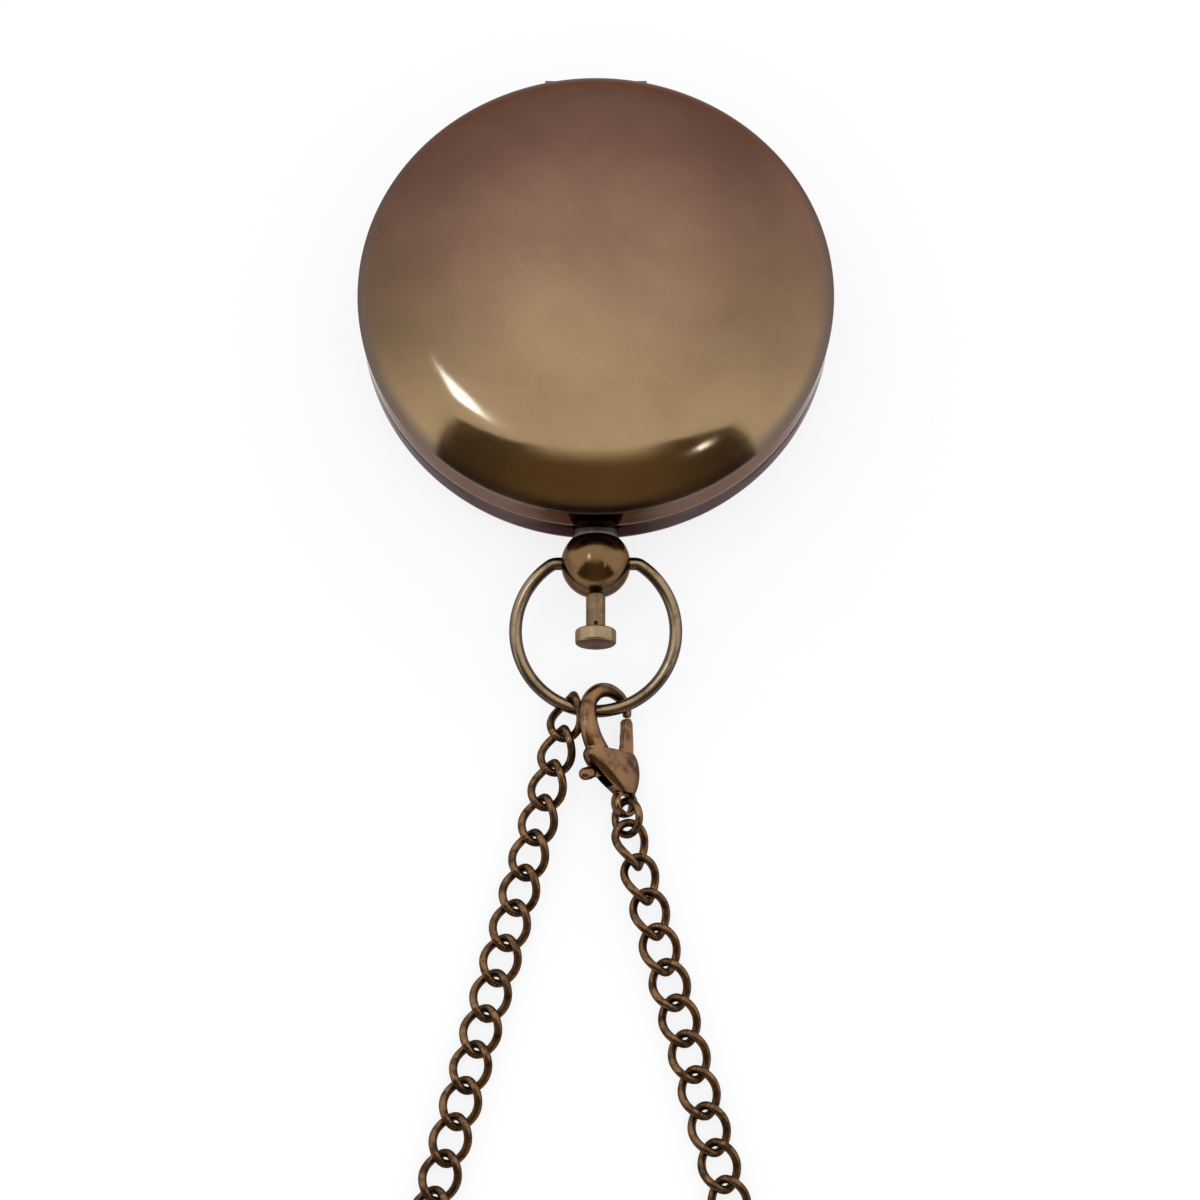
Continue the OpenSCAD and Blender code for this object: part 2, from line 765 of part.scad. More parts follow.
module lid_catch() {
    color(steel) {
        sector(
            catch_in_r, lid_in_r - seat_fit, lid_rim_z + seat_fit, lid_rim_z + catch_up,
            -90 - catch_half_angle, -90 + catch_half_angle
        );
        for (side = [-1, 1]) {
            a1 = -90 + side * (side > 0 ? catch_slot_angle : catch_half_angle);
            a2 = -90 + side * (side > 0 ? catch_half_angle : catch_slot_angle);
            sector(catch_in_r, catch_out_r, ledge_z, lid_rim_z + catch_up, a1, a2);
            sector(catch_in_r - ledge_reach, catch_out_r, ledge_z, ledge_z + ledge_t, a1, a2);
        }
    }
}

module lock_spring() {
    ear_z = ledge_z + ledge_t + catch_play;
    nose_in_r = nose_out_r - nose_t;
    color(steel) {
        strip_spring(-1);
        sector(
            nose_in_r, nose_out_r, strip_z + catch_play, ear_z + nose_h / 2,
            -90 - nose_half_angle, -90 + nose_half_angle
        );
        sector(
            nose_in_r, nose_out_r, ear_z, ear_z + nose_h,
            -90 - catch_half_angle, -90 + catch_half_angle
        );
    }
}

module button_stem() {
    color(brass) {
        difference() {
            union() {
                pendant_bar(stem_r, stem_in_y, head_y + shank_len);
                pendant_bar(tenon_r, stem_in_y, head_y + shank_len - tenon_len);
            }
            head_pin_hole();
        }
    }
}

module head_pin_hole() {
    translate([0, head_y + shank_len * 0.45, pendant_z - stem_d])
        cylinder(r = head_pin_r + seat_fit, h = 2 * stem_d, $fn = small_fn);
}

module button_head() {
    color(brass)
    difference() {
        union() {
            pendant_bar(stem_r, head_y + shank_len - seat_fit, head_y - head_round);
            pendant_turned(head_y, concat(
                [[0, 0], [head_r - head_round, 0]],
                arc(head_r - head_round, head_round, head_round, -90, 0, 4, 1),
                arc(head_r - head_round, head_len - head_round, head_round, 0, 90, 4),
                [[0, head_len]]
            ));
        }
        pendant_bar(tenon_r + seat_fit, 0, head_y + shank_len - tenon_len - seat_fit);
        head_pin_hole();
    }
}

module head_pin() {
    color(steel)
    translate([0, head_y + shank_len * 0.45, pendant_z - stem_r * 0.98])
        cylinder(r = head_pin_r, h = 2 * stem_r * 0.98, $fn = small_fn);
}

module stem_clip() {
    color(steel)
    difference() {
        pendant_bar(clip_r, clip_y + clip_t, clip_y);
        pendant_bar(stem_r + seat_fit, 0, -case_d);
    }
}

// A tube swept along open points, each with its own radius, and flattened along 'up' by a share
module swept_tube(points, radii, sides, up, up_share = 1) {
    n = len(points);
    rings = [
        for (i = [0:n - 1])
            let (
                t = unit(points[min(i + 1, n - 1)] - points[max(i - 1, 0)]),
                side = unit(cross(t, up)),
                top = cross(side, t)
            )
            for (j = [0:sides - 1])
                let (a = 360 * j / sides)
                points[i] + radii[i] * (cos(a) * side + up_share * sin(a) * top)
    ];
    walls = [
        for (i = [0:n - 2], j = [0:sides - 1])
            let (
                a = i * sides + j, b = i * sides + (j + 1) % sides,
                c = a + sides, d = b + sides
            )
            for (f = [[a, b, d], [a, d, c]]) f
    ];
    ends = [
        [for (j = [sides - 1:-1:0]) j],
        [for (j = [0:sides - 1]) (n - 1) * sides + j]
    ];
    polyhedron(points = rings, faces = concat(walls, ends), convexity = 10);
}

module return_spring() {
    y1 = clip_y + clip_t + coil_wire_d / 2 + seat_fit;
    y2 = collar_front_y - coil_wire_d / 2 - seat_fit;
    steps = coil_turns * coil_steps;
    color(steel)
    swept_tube(
        [for (i = [0:steps])
            let (a = 360 * i / coil_steps)
            [coil_r * cos(a), y1 + (y2 - y1) * i / steps, pendant_z + coil_r * sin(a)]],
        [for (i = [0:steps]) coil_wire_d / 2],
        coil_sides, [0, 1, 0]
    );
}

// Soldered joint between two stretches of the ring's wire
module ring_joint() {
    sphere(r = ring_wire_r + solder_t, $fn = small_fn);
}

module bow_ring() {
    color(brass)
    translate([0, ball_y, pendant_z])
    rotate([ring_drop, 0, 0]) {
        translate([0, -ring_c, 0])
            rotate([0, 0, 90 + elbow_angle])
            rotate_extrude(angle = 360 - 2 * elbow_angle, $fn = round_fn)
            translate([ring_r, 0])
            circle(r = ring_wire_r, $fn = small_fn);
        for (side = [0, 1])
            mirror([side, 0, 0]) {
                translate([elbow_x, -ring_elbow_r, 0])
                    rotate([0, 0, 90 - elbow_angle])
                    rotate_extrude(angle = elbow_angle, $fn = round_fn)
                    translate([ring_elbow_r, 0])
                    circle(r = ring_wire_r, $fn = small_fn);
                bar_x(ring_wire_r, stub_in_x, elbow_x);
                translate([elbow_x, 0, 0]) ring_joint();
                translate([elbow_x, -ring_elbow_r, 0])
                    rotate([0, 0, 90 - elbow_angle])
                    translate([ring_elbow_r, 0, 0])
                    ring_joint();
            }
    }
}

// One curb link, along X about its own middle
module link() {
    points = [
        for (i = [0:link_steps - 1])
            let (
                a = 360 * i / link_steps,
                p = link_line(a),
                t = unit(link_line(a + 1) - link_line(a - 1)),
                out = unit(p - (p * t) * t),
                top = cross(t, out)
            )
            for (j = [0:link_sides - 1])
                let (b = 360 * (j + 0.5) / link_sides)
                p + link_wire_r * (cos(b) * out + sin(b) * top)
    ];
    faces = [
        for (i = [0:link_steps - 1], j = [0:link_sides - 1])
            let (
                i2 = (i + 1) % link_steps, j2 = (j + 1) % link_sides,
                a = i * link_sides + j, b = i * link_sides + j2,
                c = i2 * link_sides + j, d = i2 * link_sides + j2
            )
            for (f = [[a, d, b], [a, c, d]]) f
    ];
    polyhedron(points = points, faces = faces, convexity = 6);
}

// Links number 'first' to 'last' where they lie in the chain
module links(first, last) {
    color(copper)
    for (k = [first:last]) {
        s = first_left_s + k * link_pitch;
        z1 = route_z(s - link_a);
        z2 = route_z(s + link_a);
        at = route_point(s);
        translate([at[0], at[1], (z1 + z2) / 2])
            rotate([0, 0, heading(s)])
            rotate([0, -atan2(z2 - z1, 2 * link_a), 0])
            rotate([link_roll(k), 0, 0])
            link();
    }
}

// Links of the right strand, counted down from the jump ring
module right_links(first, last) {
    links(link_count - 1 - last, link_count - 1 - first);
}

module in_clasp() {
    translate(clasp_at) rotate([0, clasp_roll, 0]) children();
}

// Smooth values between the entries of a list
function between(list, i, u) =
    let (
        n = len(list) - 1,
        a = list[max(i - 1, 0)], b = list[i], c = list[min(i + 1, n)], d = list[min(i + 2, n)]
    )
    b + 0.5 * u * (c - a + u * (2 * a - 5 * b + 4 * c - d + u * (3 * (b - c) + d - a)));
function smooth(list, steps) = concat(
    [for (i = [0:len(list) - 2], k = [0:steps - 1]) between(list, i, k / steps)],
    [list[len(list) - 1]]
);

module hook() {
    x = smooth(hook_x_shares, hook_steps);
    y = smooth(hook_y_shares, hook_steps);
    r = smooth(hook_r_shares, hook_steps);
    swept_tube(
        [for (i = [0:len(x) - 1]) [x[i] * clasp_w, y[i] * clasp_len, 0]],
        [for (i = [0:len(r) - 1]) r[i] * clasp_w],
        hook_sides, [0, 0, 1], hook_t_share
    );
}

// The clasp's body, lofted through rounded sections from its flat top down to the eye
module clasp_loft() {
    ys = smooth(body_y_shares, 2);
    ls = smooth(body_left_shares, 2);
    rs = smooth(body_right_shares, 2);
    ts = smooth(body_t_shares, 2);
    n = len(ys);
    points = [
        for (i = [0:n - 1], j = [0:body_sides - 1])
            let (
                a = 360 * j / body_sides, c = cos(a), s = sin(a),
                mid = (ls[i] + rs[i]) / 2, half = (rs[i] - ls[i]) / 2
            )
            [
                clasp_w * (mid + half * sign(c) * pow(abs(c), 0.8)),
                clasp_len * ys[i],
                clasp_t / 2 * ts[i] * sign(s) * pow(abs(s), 0.8)
            ]
    ];
    walls = [
        for (i = [0:n - 2], j = [0:body_sides - 1])
            let (
                j2 = (j + 1) % body_sides,
                a = i * body_sides + j, b = i * body_sides + j2,
                c = a + body_sides, d = b + body_sides
            )
            for (f = [[a, d, b], [a, c, d]]) f
    ];
    ends = [
        [for (j = [0:body_sides - 1]) j],
        [for (j = [body_sides - 1:-1:0]) (n - 1) * body_sides + j]
    ];
    polyhedron(points = points, faces = concat(walls, ends), convexity = 6);
}

function clasp_outline(x_shares, y_shares) =
    [for (i = [0:len(x_shares) - 1]) [x_shares[i] * clasp_w, y_shares[i] * clasp_len]];

// Flat outline of the trigger about its pivot
module trigger_outline() {
    circle(r = pivot_hub_r, $fn = small_fn);
    polygon(clasp_outline(gate_x_shares, gate_y_shares));
    polygon(clasp_outline(tail_x_shares, tail_y_shares));
}

module clasp_body() {
    color(copper)
    in_clasp()
    difference() {
        union() {
            hook();
            clasp_loft();
            translate([eye_at[0], eye_at[1], -eye_t / 2])
                cylinder(r = eye_r, h = eye_t, $fn = small_fn);
        }
        translate([eye_at[0], eye_at[1], -over])
            cylinder(r = eye_hole_r, h = 2 * over, $fn = small_fn);
        translate([pivot_at[0], pivot_at[1], 0]) {
            translate([0, 0, -pocket_t / 2])
                linear_extrude(pocket_t)
                offset(delta = lever_room)
                for (a = [0:5:trigger_swing])
                rotate(a)
                trigger_outline();
            translate([0, 0, -clasp_t])
                linear_extrude(2 * clasp_t)
                offset(delta = seat_fit)
                circle(r = rivet_r, $fn = small_fn);
        }
    }
}

// Thumb knob: a round-ended peg that runs out along the lever's tail
module knob() {
    tail_angle = atan2(knob_at[1], knob_at[0]);
    translate([knob_at[0], knob_at[1], 0])
        rotate([0, 0, tail_angle + 90])
        rotate([-90, 0, 0])
        rotate_extrude($fn = small_fn)
        polygon(concat(
            arc(0, knob_len / 2 - knob_r, knob_r, 90, 0, 5),
            arc(0, knob_r - knob_len / 2, knob_r, 0, -90, 5)
        ));
}

module clasp_trigger() {
    color(copper)
    in_clasp()
    translate([pivot_at[0], pivot_at[1], lever_z])
    difference() {
        union() {
            translate([0, 0, -trigger_t / 2]) linear_extrude(trigger_t) trigger_outline();
            knob();
        }
        translate([0, 0, -over]) cylinder(r = rivet_r + run_fit, h = 2 * over, $fn = small_fn);
    }
}

module clasp_rivet() {
    color(copper)
    in_clasp()
    translate([pivot_at[0], pivot_at[1], -clasp_t * 0.46])
        cylinder(r = rivet_r, h = clasp_t * 0.92, $fn = small_fn);
}

module clasp_spring() {
    color(steel)
    in_clasp()
    translate([pivot_at[0], pivot_at[1], pocket_t / 2 - clasp_coil_wire_d / 2 - seat_fit])
        rotate([0, 0, 120])
        rotate_extrude(angle = 300, $fn = small_fn)
        translate([clasp_coil_r, 0])
        circle(d = clasp_coil_wire_d, $fn = 16);
}

module jump_ring() {
    along = unit([right_top[0] - eye_wall[0], right_top[1] - eye_wall[1], 0]);
    lean = [cos(jump_lean), 0, sin(jump_lean)];
    rise = unit(lean - (lean * along) * along);
    axle = cross(along, rise);
    middle = [
        (eye_wall[0] + right_top[0]) / 2 + jump_side,
        (eye_wall[1] + right_top[1]) / 2 + jump_side / 2,
        jump_z
    ];
    color(copper)
    multmatrix([
        [along[0], rise[0], axle[0], middle[0]],
        [along[1], rise[1], axle[1], middle[1]],
        [along[2], rise[2], axle[2], middle[2]]
    ])
        rotate_extrude($fn = small_fn)
        translate([jump_r, 0])
        circle(d = jump_wire_d, $fn = small_fn);
}

module left_links_1() { links(0, fold_links[0] - 1); }
module right_links_1() { right_links(0, fold_links[0] - 1 - strand_offset); }
module left_links_2() { links(fold_links[0], fold_links[1] - 1); }
module right_links_2() { right_links(fold_links[0] - strand_offset, fold_links[1] - 1 - strand_offset); }
module left_links_3() { links(fold_links[1], fold_links[2] - 1); }
module right_links_3() { right_links(fold_links[1] - strand_offset, fold_links[2] - 1 - strand_offset); }
module left_links_4() { links(fold_links[2], fold_links[3] - 1); }
module right_links_4() { right_links(fold_links[2] - strand_offset, fold_links[3] - 1 - strand_offset); }
module loop_links_left() { links(fold_links[3], fold_links[3] + turn_links - 1); }
module loop_links_right() {
    links(fold_links[3] + turn_links, link_count - 1 - fold_links[3] + strand_offset);
}

back_shell();
hinge_pin();
dial_plate();
dial_card();
dial_ring();
pivot_post();
crystal();
bezel_ring();
lift_spring();
spring_screws();
neck_collar();
pendant_ball();
needle();
needle_hub();
cap_jewel();
lid_shell();
lid_catch();
lock_spring();
button_stem();
button_head();
head_pin();
stem_clip();
return_spring();
bow_ring();
clasp_body();
clasp_trigger();
clasp_rivet();
clasp_spring();
jump_ring();
left_links_1();
right_links_1();
left_links_2();
right_links_2();
left_links_3();
right_links_3();
left_links_4();
right_links_4();
loop_links_left();
loop_links_right();
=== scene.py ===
"""Pocket compass with a shut lid, push button, bow ring, trigger clasp and curb chain.

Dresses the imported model: smooth pressed, turned, wound and cast pieces over the frame, their finishes, and
the white table they lie on. Sizes are in millimetres and follow the part's own source.
"""

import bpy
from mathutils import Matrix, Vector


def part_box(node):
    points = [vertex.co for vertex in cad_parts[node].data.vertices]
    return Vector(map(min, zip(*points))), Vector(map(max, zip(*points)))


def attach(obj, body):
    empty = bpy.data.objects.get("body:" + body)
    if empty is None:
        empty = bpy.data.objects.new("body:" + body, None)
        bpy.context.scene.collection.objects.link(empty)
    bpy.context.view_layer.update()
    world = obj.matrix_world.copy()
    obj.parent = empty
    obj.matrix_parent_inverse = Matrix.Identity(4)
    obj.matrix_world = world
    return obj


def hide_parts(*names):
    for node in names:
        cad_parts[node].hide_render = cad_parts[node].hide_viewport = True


bl_info = {
    "name": "Pocket Compass",
    "version": (1, 0, 0),
    "blender": (4, 5, 0),
    "location": "3D View > Sidebar > Compass",
    "description": "Builds the visible pieces, finishes and studio of a lidded pocket compass",
    "category": "Object",
}

import math
from collections import namedtuple

import bmesh
import bpy
from mathutils import Matrix, Vector

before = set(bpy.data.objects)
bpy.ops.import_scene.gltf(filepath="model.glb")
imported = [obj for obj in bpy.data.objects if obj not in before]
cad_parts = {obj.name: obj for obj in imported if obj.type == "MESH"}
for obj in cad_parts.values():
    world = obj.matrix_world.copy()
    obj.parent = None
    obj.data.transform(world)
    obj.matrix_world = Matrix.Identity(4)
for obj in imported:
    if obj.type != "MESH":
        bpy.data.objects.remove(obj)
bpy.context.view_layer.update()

MM = 0.001
TAU = 2 * math.pi


# Sizes and colours that a user would change


def measure(name, description, value):
    return bpy.props.FloatProperty(name=name, description=description, default=value)


def number(name, description, value):
    return bpy.props.IntProperty(name=name, description=description, default=value)


def colour(name, description, value):
    return bpy.props.FloatVectorProperty(
        name=name, description=description, default=value, size=4, subtype="COLOR", min=0, max=1
    )


class CaseSizes(bpy.types.PropertyGroup):
    radius: measure("Radius", "Outside radius of the case", 22.5)
    back_sheet: measure("Back sheet", "Sheet thickness of the back", 0.8)
    lid_sheet: measure("Lid sheet", "Sheet thickness of the lid", 0.7)
    back_wall: measure("Back wall", "Height of the back's wall", 2.6)
    lid_wall: measure("Lid wall", "Height of the lid's wall", 3.25)
    back_shoulder: measure("Back shoulder", "Rounding radius of the back", 3.4)
    back_crown: measure("Back crown", "Radius of the back's dome", 200)
    foot: measure("Foot", "Radius of the flat that the back rests on", 9)
    lid_edge: measure("Lid edge", "Rounding radius over the lid's wall", 0.4)
    lid_slope: measure("Lid slope", "Slope of the dome at that edge, degrees", 50)
    lid_dome: measure("Lid dome", "Radius of the dome beside that edge", 9.3)
    lid_crown: measure("Lid crown", "Radius of the lid's shallow top", 135)
    seam: measure("Seam", "Gap between the two rims", 0.12)
    lip: measure("Lip", "Rounding of the rims' edges", 0.12)
    rounds: number("Rounds", "Sides of a full turn of the case", 240)


class HingeSizes(bpy.types.PropertyGroup):
    barrel: measure("Barrel", "Outside radius of the barrel", 0.95)
    length: measure("Length", "Length of the whole barrel", 10)
    middle: measure("Middle", "Length of the lid's knuckle", 4)
    pin: measure("Pin", "Radius of the hinge pin", 0.4)
    out: measure("Out", "Distance of the axis outside the wall", 0.5)
    gap: measure("Gap", "Gap between two knuckles", 0.08)
    room: measure("Room", "Room round a knuckle in the other half", 0.2)
    leaf: measure("Leaf", "Height of the leaf that carries a knuckle", 1.8)


class PendantSizes(bpy.types.PropertyGroup):
    drop: measure("Drop", "Depth of the pendant's axis under the rim", 1.6)
    collar: measure("Collar", "Radius of the collar", 2.2)
    collar_length: measure("Collar length", "Length of the collar", 0.9)
    ball: measure("Ball", "Radius of the ball", 3.25)
    stem: measure("Stem", "Radius of the button's stem", 0.9)
    stem_out: measure("Stem out", "Bare stem under the head", 3.2)
    head: measure("Head", "Radius of the button's head", 1.9)
    head_length: measure("Head length", "Thickness of the head", 1.4)
    ring: measure("Ring", "Radius of the bow ring to its wire", 7.45)
    ring_wire: measure("Ring wire", "Radius of the ring's wire", 0.6)
    elbow: measure("Elbow", "Bend of the wire beside the ball", 1.2)
    ring_drop: measure("Ring drop", "Slope of the ring, degrees", 10.8)


class ChainSizes(bpy.types.PropertyGroup):
    count: number("Links", "Number of links", 60)
    wire: measure("Wire", "Diameter of the links' wire", 0.76)
    pitch: measure("Pitch", "Length that one link adds", 3.3)
    play: measure("Play", "Free play between two links", 0.18)
    width: measure("Width", "Outside width of a link", 3.86)
    twist: measure("Twist", "Twist of each end, degrees", 40)
    spread: measure("Spread", "Slope of each strand, degrees", 14.9)
    hang_x: measure("Hang", "First link's place left of the middle", 2.4)
    loop_x: measure("Loop", "Middle of the chain's loop, to the left", 1.25)
    steps: number("Steps", "Rings of faces round a link", 44)
    sides: number("Sides", "Sides of the wire", 14)


class ClaspSizes(bpy.types.PropertyGroup):
    length: measure("Length", "Length of the clasp", 12.4)
    width: measure("Width", "Width of the clasp", 6.9)
    thickness: measure("Thickness", "Thickness of the clasp", 2.5)
    place: measure("Place", "Place on the ring, right of the middle", 1.36)
    roll: measure("Roll", "Turn about its own length, degrees", 42)
    lever: measure("Lever", "Thickness of the trigger", 0.7)
    voxel: measure("Casting grain", "Fineness of the cast forms", 0.08)
    jump: measure("Jump ring", "Radius of the jump ring", 1.55)
    jump_wire: measure("Jump wire", "Diameter of its wire", 0.72)


class Finishes(bpy.types.PropertyGroup):
    mauve: colour("Mauve", "Lid's patina at the hinge side", (0.232, 0.122, 0.086, 1))
    brown: colour("Brown", "Lid's patina across the middle", (0.278, 0.162, 0.106, 1))
    olive: colour("Olive", "Lid's patina at the pendant side", (0.378, 0.252, 0.134, 1))
    # The walls' patina, darkened further as painted dark reflection
    wall: colour("Wall", "Patina of the walls", (0.125, 0.100, 0.094, 1))
    ball_gold: colour("Ball gold", "Rubbed brass of the ball", (0.215, 0.126, 0.054, 1))
    ball_dark: colour("Ball dark", "Darkened brass of the ball", (0.088, 0.046, 0.025, 1))
    ring_bright: colour("Ring bright", "Rubbed brass of the bow ring", (0.370, 0.262, 0.155, 1))
    ring_dark: colour("Ring dark", "Darkened brass of the bow ring", (0.100, 0.074, 0.048, 1))
    button: colour("Button", "Satin brass of the button's head", (0.400, 0.285, 0.170, 1))
    stem: colour("Stem", "Brass of the button's stem", (0.260, 0.170, 0.090, 1))
    collar: colour("Collar", "Grey brass of the collar", (0.150, 0.132, 0.115, 1))
    chain_bright: colour("Chain bright", "Rubbed copper of the chain", (0.270, 0.146, 0.068, 1))
    chain_dark: colour("Chain dark", "Darkened copper of the chain", (0.055, 0.032, 0.021, 1))
    clasp_bright: colour("Clasp bright", "Rubbed copper of the clasp", (0.320, 0.172, 0.084, 1))
    clasp_dark: colour("Clasp dark", "Darkened copper of the clasp", (0.070, 0.038, 0.026, 1))
    brass: colour("Brass", "Clean brass inside the case", (0.700, 0.510, 0.240, 1))
    steel: colour("Steel", "Spring steel", (0.520, 0.530, 0.540, 1))
    blued: colour("Blued", "Blued half of the needle", (0.035, 0.060, 0.230, 1))
    paper: colour("Paper", "Dial card", (0.810, 0.760, 0.620, 1))
    ink: colour("Ink", "Print on the dial card", (0.030, 0.028, 0.026, 1))
    red: colour("Red", "Red print on the dial card", (0.420, 0.035, 0.030, 1))
    ruby: colour("Ruby", "Jewel in the needle's hub", (0.420, 0.010, 0.035, 1))
    pin: colour("Pin", "Blackened steel of the button's cross pin", (0.030, 0.022, 0.018, 1))
    pin_dark: colour("Pin dark", "Darkest part of the cross pin", (0.012, 0.009, 0.008, 1))
    # Colour of the painted shade and dark reflection on the walls behind the pendant
    soot: colour("Soot", "Old polish on the walls behind the pendant", (0.020, 0.012, 0.009, 1))
    floor: colour("Floor", "Table and backdrop", (0.800, 0.800, 0.800, 1))


class Studio(bpy.types.PropertyGroup):
    lens: bpy.props.FloatProperty(name="Lens", description="Focal length", default=75, unit="CAMERA")
    camera_at: bpy.props.FloatVectorProperty(
        name="Camera",
        description="Place of the camera",
        default=(0.398, -99.24, 226.25),
        subtype="TRANSLATION",
    )
    tilt: measure("Tilt", "Tilt of the camera, degrees", 17.606)
    ambient: measure("Ambient", "Strength of the plain light", 0.80)
    softbox: measure("Softbox", "Brightness of the left softbox", 8.0)


SETTINGS = {
    "compass_case": CaseSizes,
    "compass_hinge": HingeSizes,
    "compass_pendant": PendantSizes,
    "compass_chain": ChainSizes,
    "compass_clasp": ClaspSizes,
    "compass_finish": Finishes,
    "compass_studio": Studio,
}


# Geometry helpers, in millimetres


def sind(angle):
    return math.sin(math.radians(angle))


def cosd(angle):
    return math.cos(math.radians(angle))


def asind(share):
    return math.degrees(math.asin(share))


def spin(angle, axis="Z"):
    """A turn about an axis, in degrees."""
    return Matrix.Rotation(math.radians(angle), 4, axis)


def arc(middle, radius, start, end, steps, first=0):
    """Points of an arc in a plane, from point number 'first' on. Angles are in degrees."""
    turns = [start + (end - start) * i / steps for i in range(first, steps + 1)]
    return [(middle[0] + radius * cosd(a), middle[1] + radius * sind(a)) for a in turns]


def between(values, i, u):
    """A smooth value between entries i and i + 1."""
    last = len(values) - 1
    a, b, c, d = (values[min(max(k, 0), last)] for k in (i - 1, i, i + 1, i + 2))
    return b + 0.5 * u * (c - a + u * (2 * a - 5 * b + 4 * c - d + u * (3 * (b - c) + d - a)))


def smooth(values, steps):
    """A list with 'steps' smooth values for each gap between its entries."""
    gaps = range(len(values) - 1)
    return [between(values, i, k / steps) for i in gaps for k in range(steps)] + [values[-1]]


def turned(profile, rounds, place=Matrix.Identity(4)):
    """A closed profile of (radius, height) turned about Z. Returns points and faces."""
    points, faces, rows = [], [], []
    for radius, height in profile:
        if radius < 1e-6:
            rows.append([len(points)] * rounds)
            points.append(place @ Vector((0, 0, height)))
            continue
        rows.append(list(range(len(points), len(points) + rounds)))
        for j in range(rounds):
            a = TAU * j / rounds
            points.append(place @ Vector((radius * math.cos(a), radius * math.sin(a), height)))
    for i, row in enumerate(rows):
        upper = rows[(i + 1) % len(rows)]
        for j in range(rounds):
            k = (j + 1) % rounds
            corners = list(dict.fromkeys((row[j], row[k], upper[k], upper[j])))
            if len(corners) > 2:
                faces.append(corners)
    return points, faces


def ring_faces(count, sides, closed=False):
    """Faces of a tube of 'count' rings of points. An open tube gets flat ends."""
    faces = []
    for i in range(count if closed else count - 1):
        a, b = i * sides, (i + 1) % count * sides
        for j in range(sides):
            k = (j + 1) % sides
            faces.append((a + j, a + k, b + k, b + j))
    if not closed:
        faces += [tuple(range(sides))[::-1], tuple(range((count - 1) * sides, count * sides))]
    return faces


def swept(line, radii, sides, up, flat=1.0, closed=False):
    """A tube along a line of points, each with its own radius, flattened along 'up' by a share."""
    count = len(line)
    points = []
    for i, (at, radius) in enumerate(zip(line, radii)):
        before = line[(i - 1) % count] if closed else line[max(i - 1, 0)]
        after = line[(i + 1) % count] if closed else line[min(i + 1, count - 1)]
        along = (after - before).normalized()
        side = along.cross(up[i] if isinstance(up, list) else up).normalized()
        top = side.cross(along)
        for j in range(sides):
            a = TAU * j / sides
            points.append(at + radius * (math.cos(a) * side + flat * math.sin(a) * top))
    return points, ring_faces(count, sides, closed)


def prism(outline, low, high, place=Matrix.Identity(4)):
    """An outline in a plane, raised from low to high."""
    count = len(outline)
    points = [place @ Vector((x, y, z)) for z in (low, high) for x, y in outline]
    faces = [tuple(range(count))[::-1], tuple(range(count, 2 * count))]
    faces += [(i, (i + 1) % count, count + (i + 1) % count, count + i) for i in range(count)]
    return points, faces


def along_x(radius, low, high, middle, sides=64, edge=0.0):
    """A bar along X with a small rounding at both ends."""
    profile = [
        (0, low), (radius - edge, low), (radius, low + edge),
        (radius, high - edge), (radius - edge, high), (0, high),
    ]
    place = Matrix.Translation(Vector(middle)) @ Matrix.Rotation(math.pi / 2, 4, "Y")
    return turned(profile, sides, place)


def rectangle(left, right, low, high):
    """Corners of a rectangle, anticlockwise."""
    return [(left, low), (right, low), (right, high), (left, high)]


def boxy(value):
    """Draws a sine or cosine outward, so that a round turns into a square with soft corners."""
    return math.copysign(abs(value) ** 0.8, value)


def bore(radius, low, high):
    """Profile of a round hole."""
    return [(0, low), (radius, low), (radius, high), (0, high)]


def grown(outline, by):
    """An outline whose edges are all moved outward. Its points run anticlockwise."""
    count = len(outline)
    result = []
    for i in range(count):
        a, b, c = (Vector(outline[k % count]) for k in (i - 1, i, i + 1))
        e, f = (b - a).normalized(), (c - b).normalized()
        bend = Vector((e.y + f.y, -e.x - f.x)).normalized()
        result.append(tuple(b + bend * by / max(bend.dot(Vector((e.y, -e.x))), 0.5)))
    return result


# Pieces


def merged(*shells):
    """Several shells of points and faces as one."""
    points, faces = [], []
    for shell_points, shell_faces in shells:
        start = len(points)
        points += [Vector(p) for p in shell_points]
        faces += [tuple(start + i for i in face) for face in shell_faces]
    return points, faces


def placed(name, data):
    """A new object in the scene."""
    obj = bpy.data.objects.new(name, data)
    bpy.context.scene.collection.objects.link(obj)
    return obj


def mesh_object(name, shell):
    """A new object in metres from points in millimetres, with its faces turned outward."""
    mesh = bpy.data.meshes.new(name)
    mesh.from_pydata([tuple(Vector(p) * MM) for p in shell[0]], [], shell[1])
    work = bmesh.new()
    work.from_mesh(mesh)
    bmesh.ops.recalc_face_normals(work, faces=work.faces)
    work.to_mesh(mesh)
    work.free()
    return placed(name, mesh)


def evaluated_mesh(obj):
    """A new mesh of what an object and its modifiers make."""
    bpy.context.view_layer.update()
    return bpy.data.meshes.new_from_object(obj.evaluated_get(bpy.context.evaluated_depsgraph_get()))


def settle(obj):
    """Applies an object's modifiers to its mesh."""
    mesh = evaluated_mesh(obj)
    obj.modifiers.clear()
    old = obj.data
    obj.data = mesh
    bpy.data.meshes.remove(old)


def shaped(obj, joined=(), cut=()):
    """Joins shells to an object and cuts others out of it."""
    tools = []
    for operation, shells in (("UNION", joined), ("DIFFERENCE", cut)):
        for shell in shells:
            tool = mesh_object("tool", shell)
            tools.append(tool)
            step = obj.modifiers.new("shape", "BOOLEAN")
            step.operation, step.object, step.solver = operation, tool, "MANIFOLD"
    settle(obj)
    for tool in tools:
        mesh = tool.data
        bpy.data.objects.remove(tool)
        bpy.data.meshes.remove(mesh)


